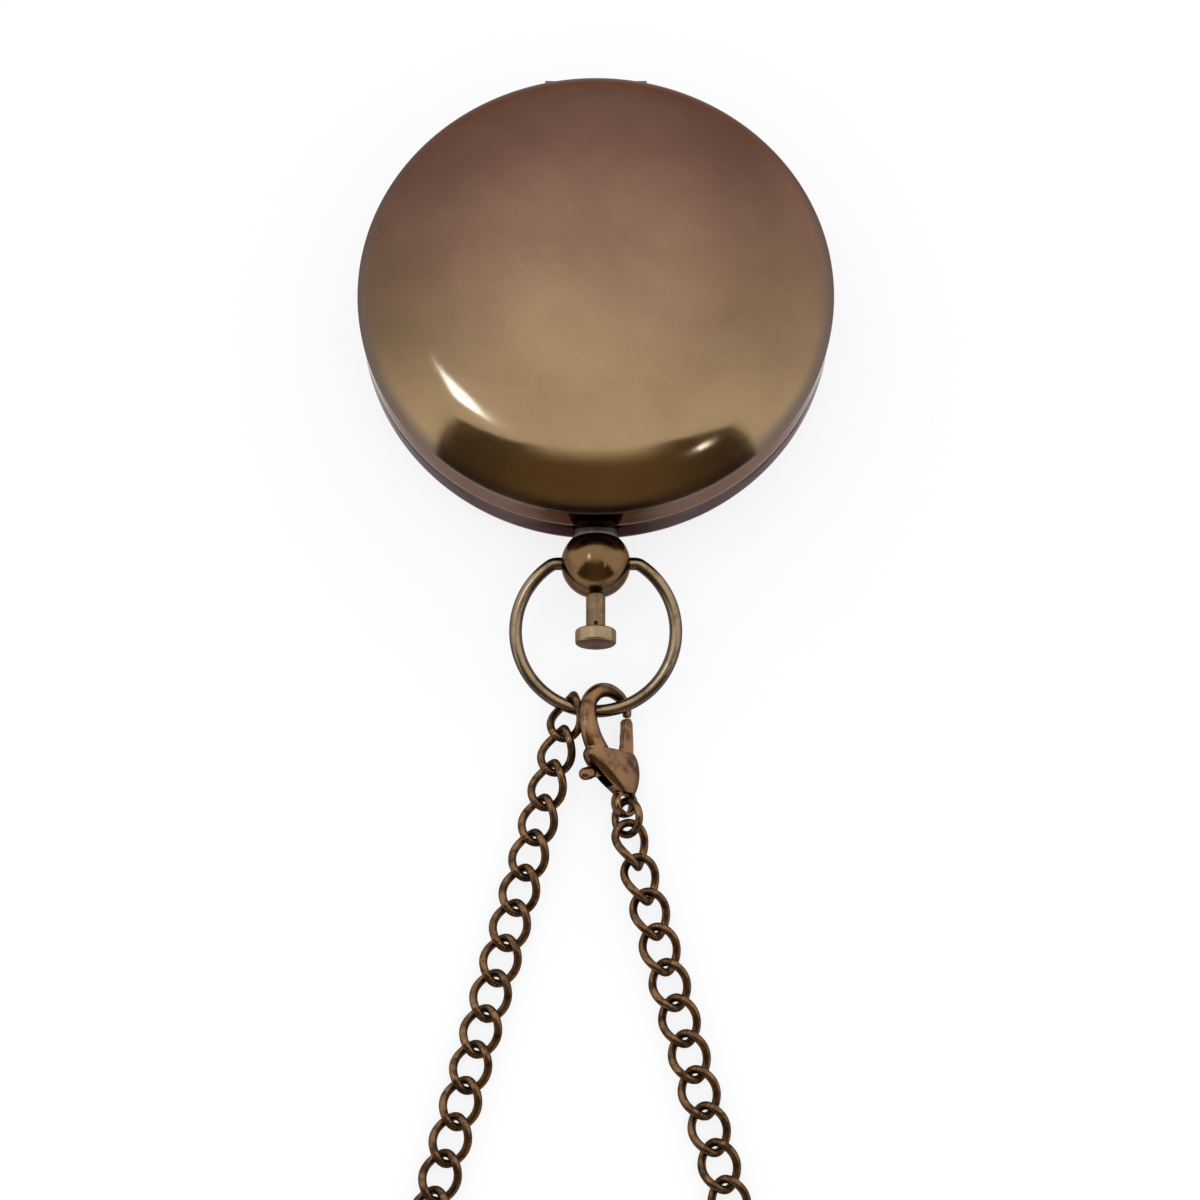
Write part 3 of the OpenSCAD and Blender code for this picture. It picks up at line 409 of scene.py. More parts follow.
def cast(obj, voxel, rounds):
    """Runs an object's shells together into one skin with soft fillets, as in a casting."""
    skin = obj.modifiers.new("skin", "REMESH")
    skin.mode, skin.voxel_size = "VOXEL", voxel * MM
    fillet = obj.modifiers.new("fillet", "SMOOTH")
    fillet.factor, fillet.iterations = 0.5, rounds
    settle(obj)


def dress(obj, body, finish, nodes=(), sharp=32):
    """Gives a piece its finish, shading and body, and hides the frame nodes that it stands for."""
    mesh = obj.data
    mesh.shade_smooth()
    mesh.set_sharp_from_angle(angle=math.radians(sharp))
    mesh.materials.clear()
    mesh.materials.append(coat(finish))
    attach(obj, body)
    if nodes:
        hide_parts(*nodes)
    return obj


def refinish(finish, *nodes):
    """Gives frame nodes a new finish."""
    for node in nodes:
        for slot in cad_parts[node].material_slots:
            slot.material = coat(finish)


# Shader wiring


class Wiring:
    """Adds nodes to one tree and joins them. A value is a number, a colour or another node's socket."""

    def __init__(self, tree):
        self.tree = tree

    def put(self, socket, value):
        if isinstance(value, bpy.types.NodeSocket):
            self.tree.links.new(value, socket)
        else:
            socket.default_value = value

    def node(self, kind, inputs=None, **settings):
        made = self.tree.nodes.new("ShaderNode" + kind)
        for name, value in settings.items():
            setattr(made, name, value)
        for key, value in (inputs or {}).items():
            self.put(made.inputs[key], value)
        return made

    def math(self, operation, a, b=0.0):
        return self.node("Math", {0: a, 1: b}, operation=operation).outputs[0]

    def times(self, product, *factors):
        for factor in factors:
            product = self.math("MULTIPLY", product, factor)
        return product

    def plus(self, a, b):
        return self.math("ADD", a, b)

    def less(self, a, b):
        return self.math("SUBTRACT", a, b)

    def size(self, value):
        """A value without its sign."""
        return self.math("ABSOLUTE", value)

    def vector(self, operation, inputs, output=0):
        return self.node("VectorMath", inputs, operation=operation).outputs[output]

    def mix(self, share, a, b, blend="MIX"):
        return self.node("Mix", {0: share, 6: a, 7: b}, data_type="RGBA", blend_type=blend).outputs[2]

    def span(self, value, low, high, to_low=0.0, to_high=1.0):
        """Maps a value smoothly from one span to another."""
        sockets = {0: value, 1: low, 2: high, 3: to_low, 4: to_high}
        return self.node("MapRange", sockets, interpolation_type="SMOOTHSTEP").outputs[0]

    def place(self):
        """Object coordinates in millimetres."""
        at = self.node("TexCoord").outputs["Object"]
        return self.node("Mapping", {"Vector": at, "Scale": [1 / MM] * 3}).outputs[0]

    def axes(self, at):
        """X, Y and Z of a vector."""
        return self.node("SeparateXYZ", {0: at}).outputs

    def reach(self, x, y):
        """Distance from the axis of the case."""
        return self.math("SQRT", self.plus(self.times(x, x), self.times(y, y)))

    def noise(self, at, scale, *, detail, rough, twist=0.0):
        sockets = {"Vector": at, "Scale": scale, "Detail": detail, "Roughness": rough, "Distortion": twist}
        return self.node("TexNoise", sockets).outputs[0]

    def effect(self, name, **inputs):
        """Places a shared effect, which is built once. Returns its outputs."""
        if name not in bpy.data.node_groups:
            GROUPS[name]()
        return self.node("Group", inputs, node_tree=bpy.data.node_groups[name]).outputs


SOCKETS = {1: "NodeSocketFloat", 3: "NodeSocketVector", 4: "NodeSocketColor"}


def node_group(name, inputs, outputs):
    """A new shader node group. A value makes a number's socket, three make a vector's and four a colour's."""
    tree = bpy.data.node_groups.new(name, "ShaderNodeTree")
    for way, sockets in (("INPUT", inputs), ("OUTPUT", outputs)):
        for label, value in sockets.items():
            kind = SOCKETS[len(value) if isinstance(value, tuple) else 1]
            tree.interface.new_socket(name=label, in_out=way, socket_type=kind).default_value = value
    given, out = tree.nodes.new("NodeGroupInput"), tree.nodes.new("NodeGroupOutput")
    return Wiring(tree), given.outputs, out.inputs


def patina_group():
    """Two colours of tarnish that run into each other in clouds, with fine mottling."""
    wires, given, out = node_group(
        "patina",
        {
            "Bright": (0.4, 0.3, 0.15, 1),
            "Dark": (0.1, 0.06, 0.04, 1),
            "Cloud": 0.2,
            "Share": 0.5,
            "Mottle": 0.1,
        },
        {"Color": (0, 0, 0, 1), "Mask": 0.0},
    )
    at = wires.place()
    cloud = wires.noise(at, given["Cloud"], detail=5, rough=0.6, twist=0.4)
    centre = wires.less(1.0, given["Share"])
    mask = wires.span(cloud, wires.less(centre, 0.16), wires.plus(centre, 0.16))
    mottle = wires.noise(at, wires.times(given["Cloud"], 9.0), detail=6, rough=0.7)
    tone = wires.plus(1.0, wires.times(wires.less(mottle, 0.5), given["Mottle"], 4.0))
    tarnish = wires.mix(mask, given["Dark"], given["Bright"])
    wires.put(out["Color"], wires.vector("SCALE", {0: tarnish, "Scale": tone}))
    wires.put(out["Mask"], mask)


def wear_group():
    """Where edges and high places are rubbed bright."""
    wires, given, out = node_group("wear", {"Reach": 0.3, "Break": 1.5}, {"Mask": 0.0})
    normal = wires.node("NewGeometry").outputs["Normal"]
    soft = wires.node("Bevel", {"Radius": wires.times(given["Reach"], MM)}, samples=6).outputs[0]
    edge = wires.span(wires.vector("DOT_PRODUCT", {0: normal, 1: soft}, "Value"), 0.995, 0.90)
    patches = wires.noise(wires.place(), given["Break"], detail=5, rough=0.65)
    wires.put(out["Mask"], wires.times(edge, wires.span(patches, 0.35, 0.62)))


def upper_group():
    """Where a surface looks up: the mask of painted light on its top and painted shade on its sides and
    underside.
    """
    wires, given, out = node_group("upper", {"Low": 0.0, "High": 0.8}, {"Mask": 0.0})
    up = wires.axes(wires.node("TexCoord").outputs["Normal"])[2]
    wires.put(out["Mask"], wires.span(up, given["Low"], given["High"]))


# Fade and darkest share of the painted shade and dark reflection behind the pendant
PENDANT_SHADE_FADE, WALL_FADE, PENDANT_SHADE_MOST = 6.0, 0.5, 0.85


def smudge_group():
    """Painted shade and dark reflection of the pendant on the walls behind it."""
    wires, given, out = node_group("smudge", {"Width": 4.5, "Reach": 22.2}, {"Mask": 0.0})
    at = wires.place()
    x, y, _ = wires.axes(at)
    ragged = wires.times(wires.noise(at, 0.6, detail=4, rough=0.6), 4.0)
    across = wires.plus(wires.size(x), ragged)
    near = wires.span(across, wires.plus(given["Width"], PENDANT_SHADE_FADE), given["Width"])
    wall = wires.span(wires.reach(x, y), wires.less(given["Reach"], WALL_FADE), given["Reach"])
    wires.put(out["Mask"], wires.times(near, wall, wires.span(y, -1.0, -2.0), PENDANT_SHADE_MOST))


def grain_group():
    """Fine lines of polishing, drawn out along one direction, and small pits. For a bump's height."""
    wires, given, out = node_group(
        "grain", {"Stretch": (1, 1, 1), "Fineness": 6.0, "Pits": 0.2}, {"Height": 0.0}
    )
    at = wires.place()
    drawn = wires.vector("MULTIPLY", {0: at, 1: given["Stretch"]})
    lines = wires.noise(drawn, given["Fineness"], detail=4, rough=0.6)
    pits = wires.span(wires.noise(at, 7.0, detail=2, rough=0.5), 0.30, 0.22)
    wires.put(out["Height"], wires.less(lines, wires.times(pits, given["Pits"])))


def lathe_group():
    """Fine turned rings about a point. For a bump's height."""
    wires, given, out = node_group("lathe", {"Middle": (0, 0, 0), "Lines": 8.0}, {"Height": 0.0})
    off = wires.vector("SUBTRACT", {0: wires.place(), 1: given["Middle"]})
    turn = wires.times(wires.vector("LENGTH", {0: off}, "Value"), given["Lines"])
    rings = wires.node("TexNoise", {"W": turn, "Scale": 1.0, "Detail": 3.0}, noise_dimensions="1D")
    wires.put(out["Height"], rings.outputs[0])


GROUPS = {
    "patina": patina_group,
    "wear": wear_group,
    "upper": upper_group,
    "smudge": smudge_group,
    "grain": grain_group,
    "lathe": lathe_group,
}


class Surface(Wiring):
    """A new material with a Principled surface. Settings are its sockets' plain values."""

    def __init__(self, name, **settings):
        self.material = bpy.data.materials.new(name)
        self.material.use_nodes = True
        super().__init__(self.material.node_tree)
        self.inputs = self.tree.nodes["Principled BSDF"].inputs
        for key, value in settings.items():
            self.feed(key.replace("_", " "), value)

    def feed(self, name, value):
        """Gives one of the surface's sockets its value."""
        self.put(self.inputs[name], value)

    def bump(self, height, strength, depth=0.02):
        """Feeds a height to the normal. Depth is in millimetres."""
        bump = self.node("Bump", {"Height": height, "Strength": strength, "Distance": depth * MM})
        self.feed("Normal", bump.outputs[0])

    def grain(self, stretch, *, fineness, pits, strength, depth=0.02):
        """Relief of polishing lines and pits. Returns its height."""
        height = self.effect("grain", Stretch=stretch, Fineness=fineness, Pits=pits)["Height"]
        self.bump(height, strength, depth)
        return height

    def patina(self, bright, dark, *, cloud, share, mottle, dull, shiny):
        """Clouded colour, and a roughness from 'dull' in the dark to 'shiny' in the bright."""
        colours = self.effect("patina", Bright=bright, Dark=dark, Cloud=cloud, Share=share, Mottle=mottle)
        self.feed("Base Color", colours["Color"])
        self.feed("Roughness", self.span(colours["Mask"], 0.0, 1.0, dull, shiny))
        return colours["Color"]


# Finishes


WHITE, BLACK = (1, 1, 1, 1), (0, 0, 0, 1)


def tint(name):
    """The colour of that name among the finishes' settings."""
    return tuple(getattr(bpy.context.scene.compass_finish, name))


def shade(value, by):
    """A colour made darker or lighter."""
    return tuple(min(by * c, 1) for c in value[:3]) + (1,)


# Where the lid's colours run into each other, in millimetres from its middle and over the table
DRIFT = 16.0
MAUVE_TO_BROWN, BROWN_TO_OLIVE = (14.0, -1.0), (4.0, -12.0)
# The shoulder's painted dark reflection: its reach, its fade across the lid, its fade to the right and its
# darkest share
DARK_REFLECTION_REACH, DARK_REFLECTION_FROM, DARK_REFLECTION_RIGHT, DARK_REFLECTION_MOST = (6.0, 20.5), (-17.0, -4.0), (21.0, 13.0), 0.46
WALL_REACH, WALL_HEIGHT, WALL_SHARE = (21.2, 22.3), (10.7, 10.2), 0.8


def lid_finish():
    """Lacquered patina: mauve brown at the hinge and the rim, olive gold towards the pendant."""
    skin = Surface(
        "lid_patina", Metallic=1.0, Specular_Tint=(0.54, 0.43, 0.40, 1), Coat_Weight=0.06, Coat_Roughness=0.04
    )
    at = skin.place()
    x, y, z = skin.axes(at)
    clouds = skin.noise(at, 0.07, detail=3, rough=0.5, twist=0.6)
    height = skin.plus(y, skin.times(skin.less(clouds, 0.5), DRIFT))
    upper = skin.mix(skin.span(height, *MAUVE_TO_BROWN), tint("mauve"), tint("brown"))
    whole = skin.mix(skin.span(height, *BROWN_TO_OLIVE), upper, tint("olive"))
    cloudy = skin.effect(
        "patina", Bright=(1.05, 1.05, 1.04, 1), Dark=(0.94, 0.93, 0.94, 1), Cloud=0.13, Mottle=0.03
    )
    whole = skin.mix(1.0, whole, cloudy["Color"], "MULTIPLY")
    reach = skin.reach(x, y)
    # Painted dark reflection: the shoulder darkens towards black away from the pendant, less on the right
    painted_dark_reflection = skin.times(skin.span(reach, *DARK_REFLECTION_REACH, 0.0, DARK_REFLECTION_MOST), skin.span(y, *DARK_REFLECTION_FROM))
    whole = skin.mix(skin.times(painted_dark_reflection, skin.span(x, *DARK_REFLECTION_RIGHT, 0.5, 1.0)), whole, BLACK)
    # The wall band takes the walls' colour: patina darkened as painted dark reflection
    side = skin.math("MAXIMUM", skin.span(reach, *WALL_REACH), skin.span(z, *WALL_HEIGHT))
    whole = skin.mix(skin.times(side, WALL_SHARE), whole, tint("wall"))
    # Painted shade and dark reflection of the pendant on the lid's wall
    skin.feed("Base Color", skin.mix(skin.effect("smudge")["Mask"], whole, tint("soot")))
    skin.feed("Roughness", skin.span(skin.noise(at, 0.5, detail=5, rough=0.6), 0.3, 0.7, 0.10, 0.15))
    skin.grain((0.35, 1.6, 1.0), fineness=5.0, pits=0.15, strength=0.06)
    return skin


CASE_CLOUDS = dict(cloud=0.22, share=0.6, mottle=0.08, dull=0.32, shiny=0.22)


def case_finish():
    """Patina of the back: mauve grey with a fine drawn grain along the wall."""
    skin = Surface("case_patina", Metallic=1.0, Specular_Tint=(0.44, 0.38, 0.39, 1), Coat_Weight=0.03)
    # The walls' colour: patina darkened as painted dark reflection
    tone = skin.patina(tint("wall"), shade(tint("wall"), 0.72), **CASE_CLOUDS)
    rubbed = skin.effect("wear", Reach=0.12, Break=1.2)["Mask"]
    tone = skin.mix(skin.times(rubbed, 0.5), tone, tint("olive"))
    # Painted shade and dark reflection of the pendant on the back's wall
    skin.feed("Base Color", skin.mix(skin.effect("smudge")["Mask"], tone, tint("soot")))
    skin.grain((0.4, 0.4, 5.0), fineness=4.0, pits=0.2, strength=0.18)
    return skin


def antique(
    name, bright, dark, cloud, share, rough, reach,
    stretch=(1.0, 1.0, 1.0), brushed=0.0, side_shade=(0.70, 0.82, 1.30), top=(0.0, 0.8),
):
    """Darkened metal, rubbed bright on its edges, with painted light on its upper side. Returns its surface
    and its grain's height.

    'dark' is the name of a colour or a share of the bright one. 'brushed' draws out the shine along Y.
    The sides and below get painted shade: the dark colour darkened once more by the given factors. 'top' is
    the span of the normal's height over which the painted shade turns into the lit colour.
    """
    skin = Surface(
        name, Metallic=1.0, Specular_Tint=(0.62, 0.52, 0.46, 1), Coat_Weight=0.05, Coat_Roughness=0.15
    )
    bright = tint(bright)
    dark = tint(dark) if isinstance(dark, str) else shade(bright, dark)
    clouds = dict(cloud=cloud, share=share, mottle=0.12, dull=rough + 0.12, shiny=rough)
    tone = skin.patina(bright, dark, **clouds)
    rubbed = skin.effect("wear", Reach=reach, Break=2.2)["Mask"]
    tone = skin.mix(skin.times(rubbed, 0.7), tone, shade(bright, 1.3))
    # Painted shade on the sides and below, and painted light where the normal looks up
    painted_side_shade = tuple(a * b for a, b in zip(dark, side_shade)) + (1,)
    tone = skin.mix(skin.effect("upper", Low=top[0], High=top[1])["Mask"], painted_side_shade, tone)
    skin.feed("Base Color", tone)
    if brushed:
        skin.feed("Anisotropic", brushed)
        skin.feed("Anisotropic Rotation", 0.25)
        skin.feed("Tangent", skin.node("Tangent", direction_type="RADIAL", axis="Y").outputs[0])
    return skin, skin.grain(stretch, fineness=5.0, pits=0.35, strength=0.22)


CUTTER_MARKS = 19.0


def chain_finish():
    """Copper of the chain, with the fine marks of the cutter across the ends of its links."""
    skin, height = antique(**ANTIQUES["chain"])
    ends, along, _ = skin.axes(skin.node("Attribute", attribute_name="link").outputs["Vector"])
    marks = skin.size(skin.math("SINE", skin.times(along, CUTTER_MARKS)))
    groove = skin.times(skin.span(marks, 0.75, 0.2), skin.span(skin.size(ends), 0.72, 0.88))
    tone = skin.inputs["Base Color"].links[0].from_socket
    skin.feed("Base Color", skin.mix(skin.times(groove, 0.6), tone, tint("chain_dark")))
    skin.bump(skin.less(skin.times(height, 0.4), skin.times(groove, 2.0)), 0.45)
    return skin


def even(name, bright, dark, clouds, **settings):
    """A clean surface whose colour drifts a little. 'dark' is a share of the bright colour."""
    skin = Surface(name, **settings)
    skin.patina(tint(bright), shade(tint(bright), dark), **clouds)
    return skin


def brass_finish():
    """Clean brass with lathe lines, for the dial's metal."""
    clouds = dict(cloud=0.3, share=0.7, mottle=0.05, dull=0.32, shiny=0.22)
    skin = even("dial_brass", "brass", 0.8, clouds, Metallic=1.0)
    skin.bump(skin.effect("lathe", Middle=(0.0, 0.0, 6.0), Lines=9.0)["Height"], 0.25)
    return skin


def steel_finish():
    """Drawn spring steel."""
    clouds = dict(cloud=0.8, share=0.65, mottle=0.06, dull=0.36, shiny=0.26)
    skin = even("spring_steel", "steel", 0.7, clouds, Metallic=1.0)
    skin.grain((1.0, 1.0, 6.0), fineness=7.0, pits=0.1, strength=0.2, depth=0.01)
    return skin


def needle_finish():
    """Blued steel on the north half, bare steel on the south."""
    skin = Surface("needle_steel", Metallic=1.0, Coat_Weight=0.3, Coat_Roughness=0.1)
    north = skin.span(skin.axes(skin.place())[1], -0.05, 0.05)
    tone = skin.mix(north, shade(tint("steel"), 1.2), tint("blued"))
    clouds = dict(cloud=0.7, share=0.5, mottle=0.04, dull=0.30, shiny=0.20)
    cloudy = skin.patina((1.1, 1.1, 1.1, 1), (0.85, 0.85, 0.9, 1), **clouds)
    skin.feed("Base Color", skin.mix(1.0, tone, cloudy, "MULTIPLY"))
    skin.grain((4.0, 0.3, 1.0), fineness=6.0, pits=0.0, strength=0.15, depth=0.01)
    return skin


def paper_finish():
    """Matt card with faint fibres and a little age."""
    clouds = dict(cloud=0.12, share=0.7, mottle=0.03, dull=0.75, shiny=0.65)
    skin = even("dial_card", "paper", 0.86, clouds, IOR=1.4)
    skin.grain((1.0, 1.0, 1.0), fineness=12.0, pits=0.1, strength=0.2, depth=0.01)
    return skin


def ink_finish(name, ink):
    """Printing ink with a slight unevenness."""
    skin = Surface(name, IOR=1.45)
    faded = tuple(min(1.6 * c + 0.01, 1) for c in ink[:3]) + (1,)
    skin.patina(faded, ink, cloud=0.5, share=0.35, mottle=0.04, dull=0.5, shiny=0.62)
    return skin


def glass_finish():
    """Clear watch glass with the faintest unevenness."""
    skin = Surface("watch_glass", Transmission_Weight=1.0, IOR=1.5, Base_Color=(0.97, 0.99, 0.985, 1))
    haze = skin.noise(skin.place(), 0.4, detail=3, rough=0.5)
    skin.feed("Roughness", skin.span(haze, 0.3, 0.8, 0.0, 0.03))
    return skin


def jewel_finish():
    """Ruby bearing."""
    clouds = dict(cloud=2.0, share=0.6, mottle=0.03, dull=0.12, shiny=0.06)
    return even("ruby", "ruby", 0.5, clouds, IOR=1.76, Coat_Weight=0.4)


# Darkened metals: the values that antique takes, with the depth and span of their painted shade and light
ANTIQUES = {
    "ball": dict(
        name="pendant_brass", bright="ball_gold", dark="ball_dark",
        cloud=0.45, share=0.55, rough=0.16, reach=0.15, stretch=(1.0, 2.5, 1.0), brushed=0.65,
    ),
    "ring": dict(
        name="ring_brass", bright="ring_bright", dark="ring_dark",
        cloud=0.5, share=0.60, rough=0.17, reach=0.12, stretch=(1.0, 1.0, 3.0), top=(0.50, 1.0),
    ),
    "chain": dict(
        name="chain_copper", bright="chain_bright", dark="chain_dark",
        cloud=1.1, share=0.52, rough=0.25, reach=0.15, side_shade=(0.6, 0.6, 0.6), top=(0.25, 0.95),
    ),
    "clasp": dict(
        name="clasp_copper", bright="clasp_bright", dark="clasp_dark",
        cloud=0.6, share=0.56, rough=0.22, reach=0.35, stretch=(0.6, 2.0, 1.0), top=(0.20, 0.95),
    ),
    "button": dict(
        name="button_satin", bright="button", dark=0.72,
        cloud=0.6, share=0.6, rough=0.34, reach=0.15, stretch=(1.0, 6.0, 1.0), brushed=0.6,
        side_shade=(0.24, 0.24, 0.30),
    ),
    "stem": dict(
        name="stem_brass", bright="stem", dark=0.65,
        cloud=0.8, share=0.55, rough=0.34, reach=0.15, stretch=(1.0, 5.0, 1.0), brushed=0.5,
    ),
    "collar": dict(
        name="collar_brass", bright="collar", dark=0.35,
        cloud=0.5, share=0.55, rough=0.28, reach=0.12, stretch=(1.0, 5.0, 1.0), brushed=0.5,
    ),
    "pin": dict(name="pin_steel", bright="pin", dark="pin_dark", cloud=1.5, share=0.5, rough=0.4, reach=0.05),
}

MAKERS = {
    "lid": lid_finish,
    "case": case_finish,
    "chain": chain_finish,
    "brass": brass_finish,
    "steel": steel_finish,
    "needle": needle_finish,
    "paper": paper_finish,
    "ink": lambda: ink_finish("black_ink", tint("ink")),
    "red_ink": lambda: ink_finish("red_ink", tint("red")),
    "glass": glass_finish,
    "jewel": jewel_finish,
}
coats = {}


def coat(name):
    """The material of that finish, made once."""
    if name not in coats:
        skin = MAKERS[name]() if name in MAKERS else antique(**ANTIQUES[name])[0]
        coats[name] = skin.material
    return coats[name]


# Places worked out from the sizes


Profile = namedtuple("Profile", "edge slope dome crown foot")


class Layout:
    """Heights and places that several pieces share, worked out as in the part's source."""

    shoulder_split = 45.0
    collar_play = 0.25
    ring_entry = 0.35
    wall_end = 0.5

    def __init__(self):
        scene = bpy.context.scene
        case = self.case = scene.compass_case
        pendant = self.pendant = scene.compass_pendant
        self.hinge, self.chain, self.clasp = scene.compass_hinge, scene.compass_chain, scene.compass_clasp
        shoulder = case.back_shoulder
        self.back = Profile(shoulder, self.shoulder_split, shoulder, case.back_crown, case.foot)
        self.lid = Profile(case.lid_edge, case.lid_slope, case.lid_dome, case.lid_crown, 0.0)
        self.rim_z = self.edge_middle(self.back)[1] + case.back_wall
        self.lid_rim_z = self.rim_z + case.seam
        self.lid_height = self.edge_middle(self.lid)[1] + case.lid_wall
        self.lid_top_z = self.lid_rim_z + self.lid_height
        self.hinge_at = (0.0, case.radius + self.hinge.out, self.rim_z + case.seam / 2)
        self.pendant_z = self.rim_z - pendant.drop
        seat = pendant.collar + self.collar_play
        self.ball_y = -(case.radius + pendant.collar_length + math.sqrt(pendant.ball**2 - seat**2))
        self.head_y = self.ball_y - pendant.ball - pendant.stem_out
        bend = pendant.ring - pendant.elbow
        self.elbow_x = pendant.ball + self.ring_entry
        self.elbow_angle = asind(self.elbow_x / bend)
        self.ring_middle = bend * cosd(self.elbow_angle) + pendant.elbow

    def crown_z(self, profile):
        return math.sqrt(profile.crown**2 - profile.foot**2)

    def dome_middle(self, profile):
        """Middle of the dome's arc, and the angle at which it meets the crown."""
        x = self.case.radius - profile.edge - (profile.dome - profile.edge) * sind(profile.slope)
        rest = profile.crown - profile.dome
        meet = math.asin(x / rest)
        return x, self.crown_z(profile) - rest * math.cos(meet), math.degrees(meet)

    def edge_middle(self, profile):
        drop = (profile.dome - profile.edge) * cosd(profile.slope)
        return self.case.radius - profile.edge, self.dome_middle(profile)[1] - drop

    def cup_side(self, profile, rim, inset):
        """Side of a domed cup from its middle to its rim, moved in by 'inset'."""
        x, z, meet = self.dome_middle(profile)
        start = asind(profile.foot / profile.crown)
        top, crown, dome = self.crown_z(profile), profile.crown - inset, profile.dome - inset
        side = self.case.radius - inset
        edged = inset < profile.edge
        last = profile.slope if edged else asind((side - x) / dome)
        points = [(0.0, top - crown * cosd(start))] if profile.foot else []
        points += arc((0, top), crown, start - 90, meet - 90, 20)
        points += arc((x, z), dome, meet - 90, last - 90, 28, 1)
        if edged:
            points += arc(self.edge_middle(profile), profile.edge - inset, last - 90, 0, 10, 1)
        lip = self.case.lip / 2 if inset else self.case.lip
        inward = lip if inset else -lip
        points += [(side, rim - lip - self.wall_end), (side, rim - lip)]
        points += [(side + 0.3 * inward, rim - 0.3 * lip), (side + inward, rim)]
        return points

    def cup(self, profile, rim, sheet):
        return self.cup_side(profile, rim, 0) + self.cup_side(profile, rim, sheet)[::-1]

    def ring_point(self, x):
        """The point of the ring's wire at a distance beside its middle."""
        reach, drop = self.ring_middle + math.sqrt(self.pendant.ring**2 - x * x), self.pendant.ring_drop
        return Vector((x, self.ball_y - reach * cosd(drop), self.pendant_z - reach * sind(drop)))

    def pendant_turned(self, y, profile, sides=72):
        """A piece turned about the pendant's axis. Profile points are (radius, distance out from y)."""
        place = Matrix.Translation((0, y, self.pendant_z)) @ Matrix.Rotation(math.pi / 2, 4, "X")
        return turned(profile, sides, place)


# Case


LEAF_ROOT = 0.65
BARREL_EDGE = 0.06
LID_PIN_PLAY, BACK_PIN_PLAY = 0.03, 0.02
HEEL, HEEL_HEIGHT = rectangle(-1.5, 1.5, 20.15, 22.15), 0.8
SPIGOT_Y, SPIGOT_LENGTH, SPIGOT_WALL = -20.7, 2.8, 0.42


def leaf(layout, low, high, up, rim):
    """The leaf that carries a knuckle: a wedge from the wall out to the barrel."""
    hinge = layout.hinge
    inner, outer = layout.case.radius - LEAF_ROOT, layout.hinge_at[1]
    tip, root = rim + up * hinge.barrel / 2, rim + up * hinge.leaf
    outline = [(inner, rim), (outer, rim), (outer, tip), (inner, root)]
    place = Matrix(((0, 0, 1, 0), (1, 0, 0, 0), (0, 1, 0, 0), (0, 0, 0, 1)))
    return prism(outline[::up], low, high, place)


def hinged(layout, knuckles, rooms, up, rim, pin_play):
    """What one half of the hinge adds to a cup, and what it cuts: the pin's bore and room for the other."""
    hinge, at = layout.hinge, layout.hinge_at
    joined = []
    for low, high in knuckles:
        joined += [leaf(layout, low, high, up, rim), along_x(hinge.barrel, low, high, at, edge=BARREL_EDGE)]
    through = hinge.length / 2 + 1
    cut = [along_x(hinge.pin + pin_play, -through, through, at)]
    cut += [along_x(hinge.barrel + hinge.room, low, high, at) for low, high in rooms]
    return joined, cut


class COMPASS_OT_lid(bpy.types.Operator):
    """Pressed lid with its middle hinge knuckle and the heel that the lift spring raises"""

    bl_idname = "compass.lid"
    bl_label = "Lid"

    def execute(self, context):
        layout = Layout()
        case, hinge, rim = layout.case, layout.hinge, layout.lid_rim_z
        flip = Matrix.Translation((0, 0, layout.lid_top_z)) @ Matrix.Diagonal((1, 1, -1, 1))
        cup = layout.cup(layout.lid, layout.lid_height, case.lid_sheet)
        lid = mesh_object("lid", turned(cup, case.rounds, flip))
        half, outer = hinge.middle / 2, hinge.length / 2 + hinge.gap
        knuckle, rooms = [(-half, half)], [(-outer, -half), (half, outer)]
        joined, cut = hinged(layout, knuckle, rooms, 1, rim, LID_PIN_PLAY)
        joined.append(prism(HEEL, rim, rim + HEEL_HEIGHT))
        shaped(lid, joined, cut)
        dress(lid, "lid", "lid", ["lid_shell"])
        return {"FINISHED"}


class COMPASS_OT_back(bpy.types.Operator):
    """Pressed back with its two hinge knuckles and the hole for the pendant's spigot"""

    bl_idname = "compass.back"
    bl_label = "Back"

    def execute(self, context):
        layout = Layout()
        case, hinge, rim = layout.case, layout.hinge, layout.rim_z
        back = mesh_object("back", turned(layout.cup(layout.back, rim, case.back_sheet), case.rounds))
        half, outer = hinge.middle / 2 + hinge.gap, hinge.length / 2
        knuckles, room = [(-outer, -half), (half, outer)], [(-half, half)]
        joined, cut = hinged(layout, knuckles, room, -1, rim, BACK_PIN_PLAY)
        cut.append(layout.pendant_turned(SPIGOT_Y, bore(layout.pendant.stem + SPIGOT_WALL, 0, SPIGOT_LENGTH)))
        shaped(back, joined, cut)
        dress(back, "case", "case", ["back_shell"])
        refinish("steel", "hinge_pin")
        return {"FINISHED"}


# Pendant, button and ring


HEAD_ROUNDING = 0.25
NECK_LENGTH, NECK_FILLET, NECK_SUNK = 0.98, 0.08, 0.02
PIN_PLAY = 0.03
RING_INSIDE, ELBOW_LEAD = 1.8, 0.6


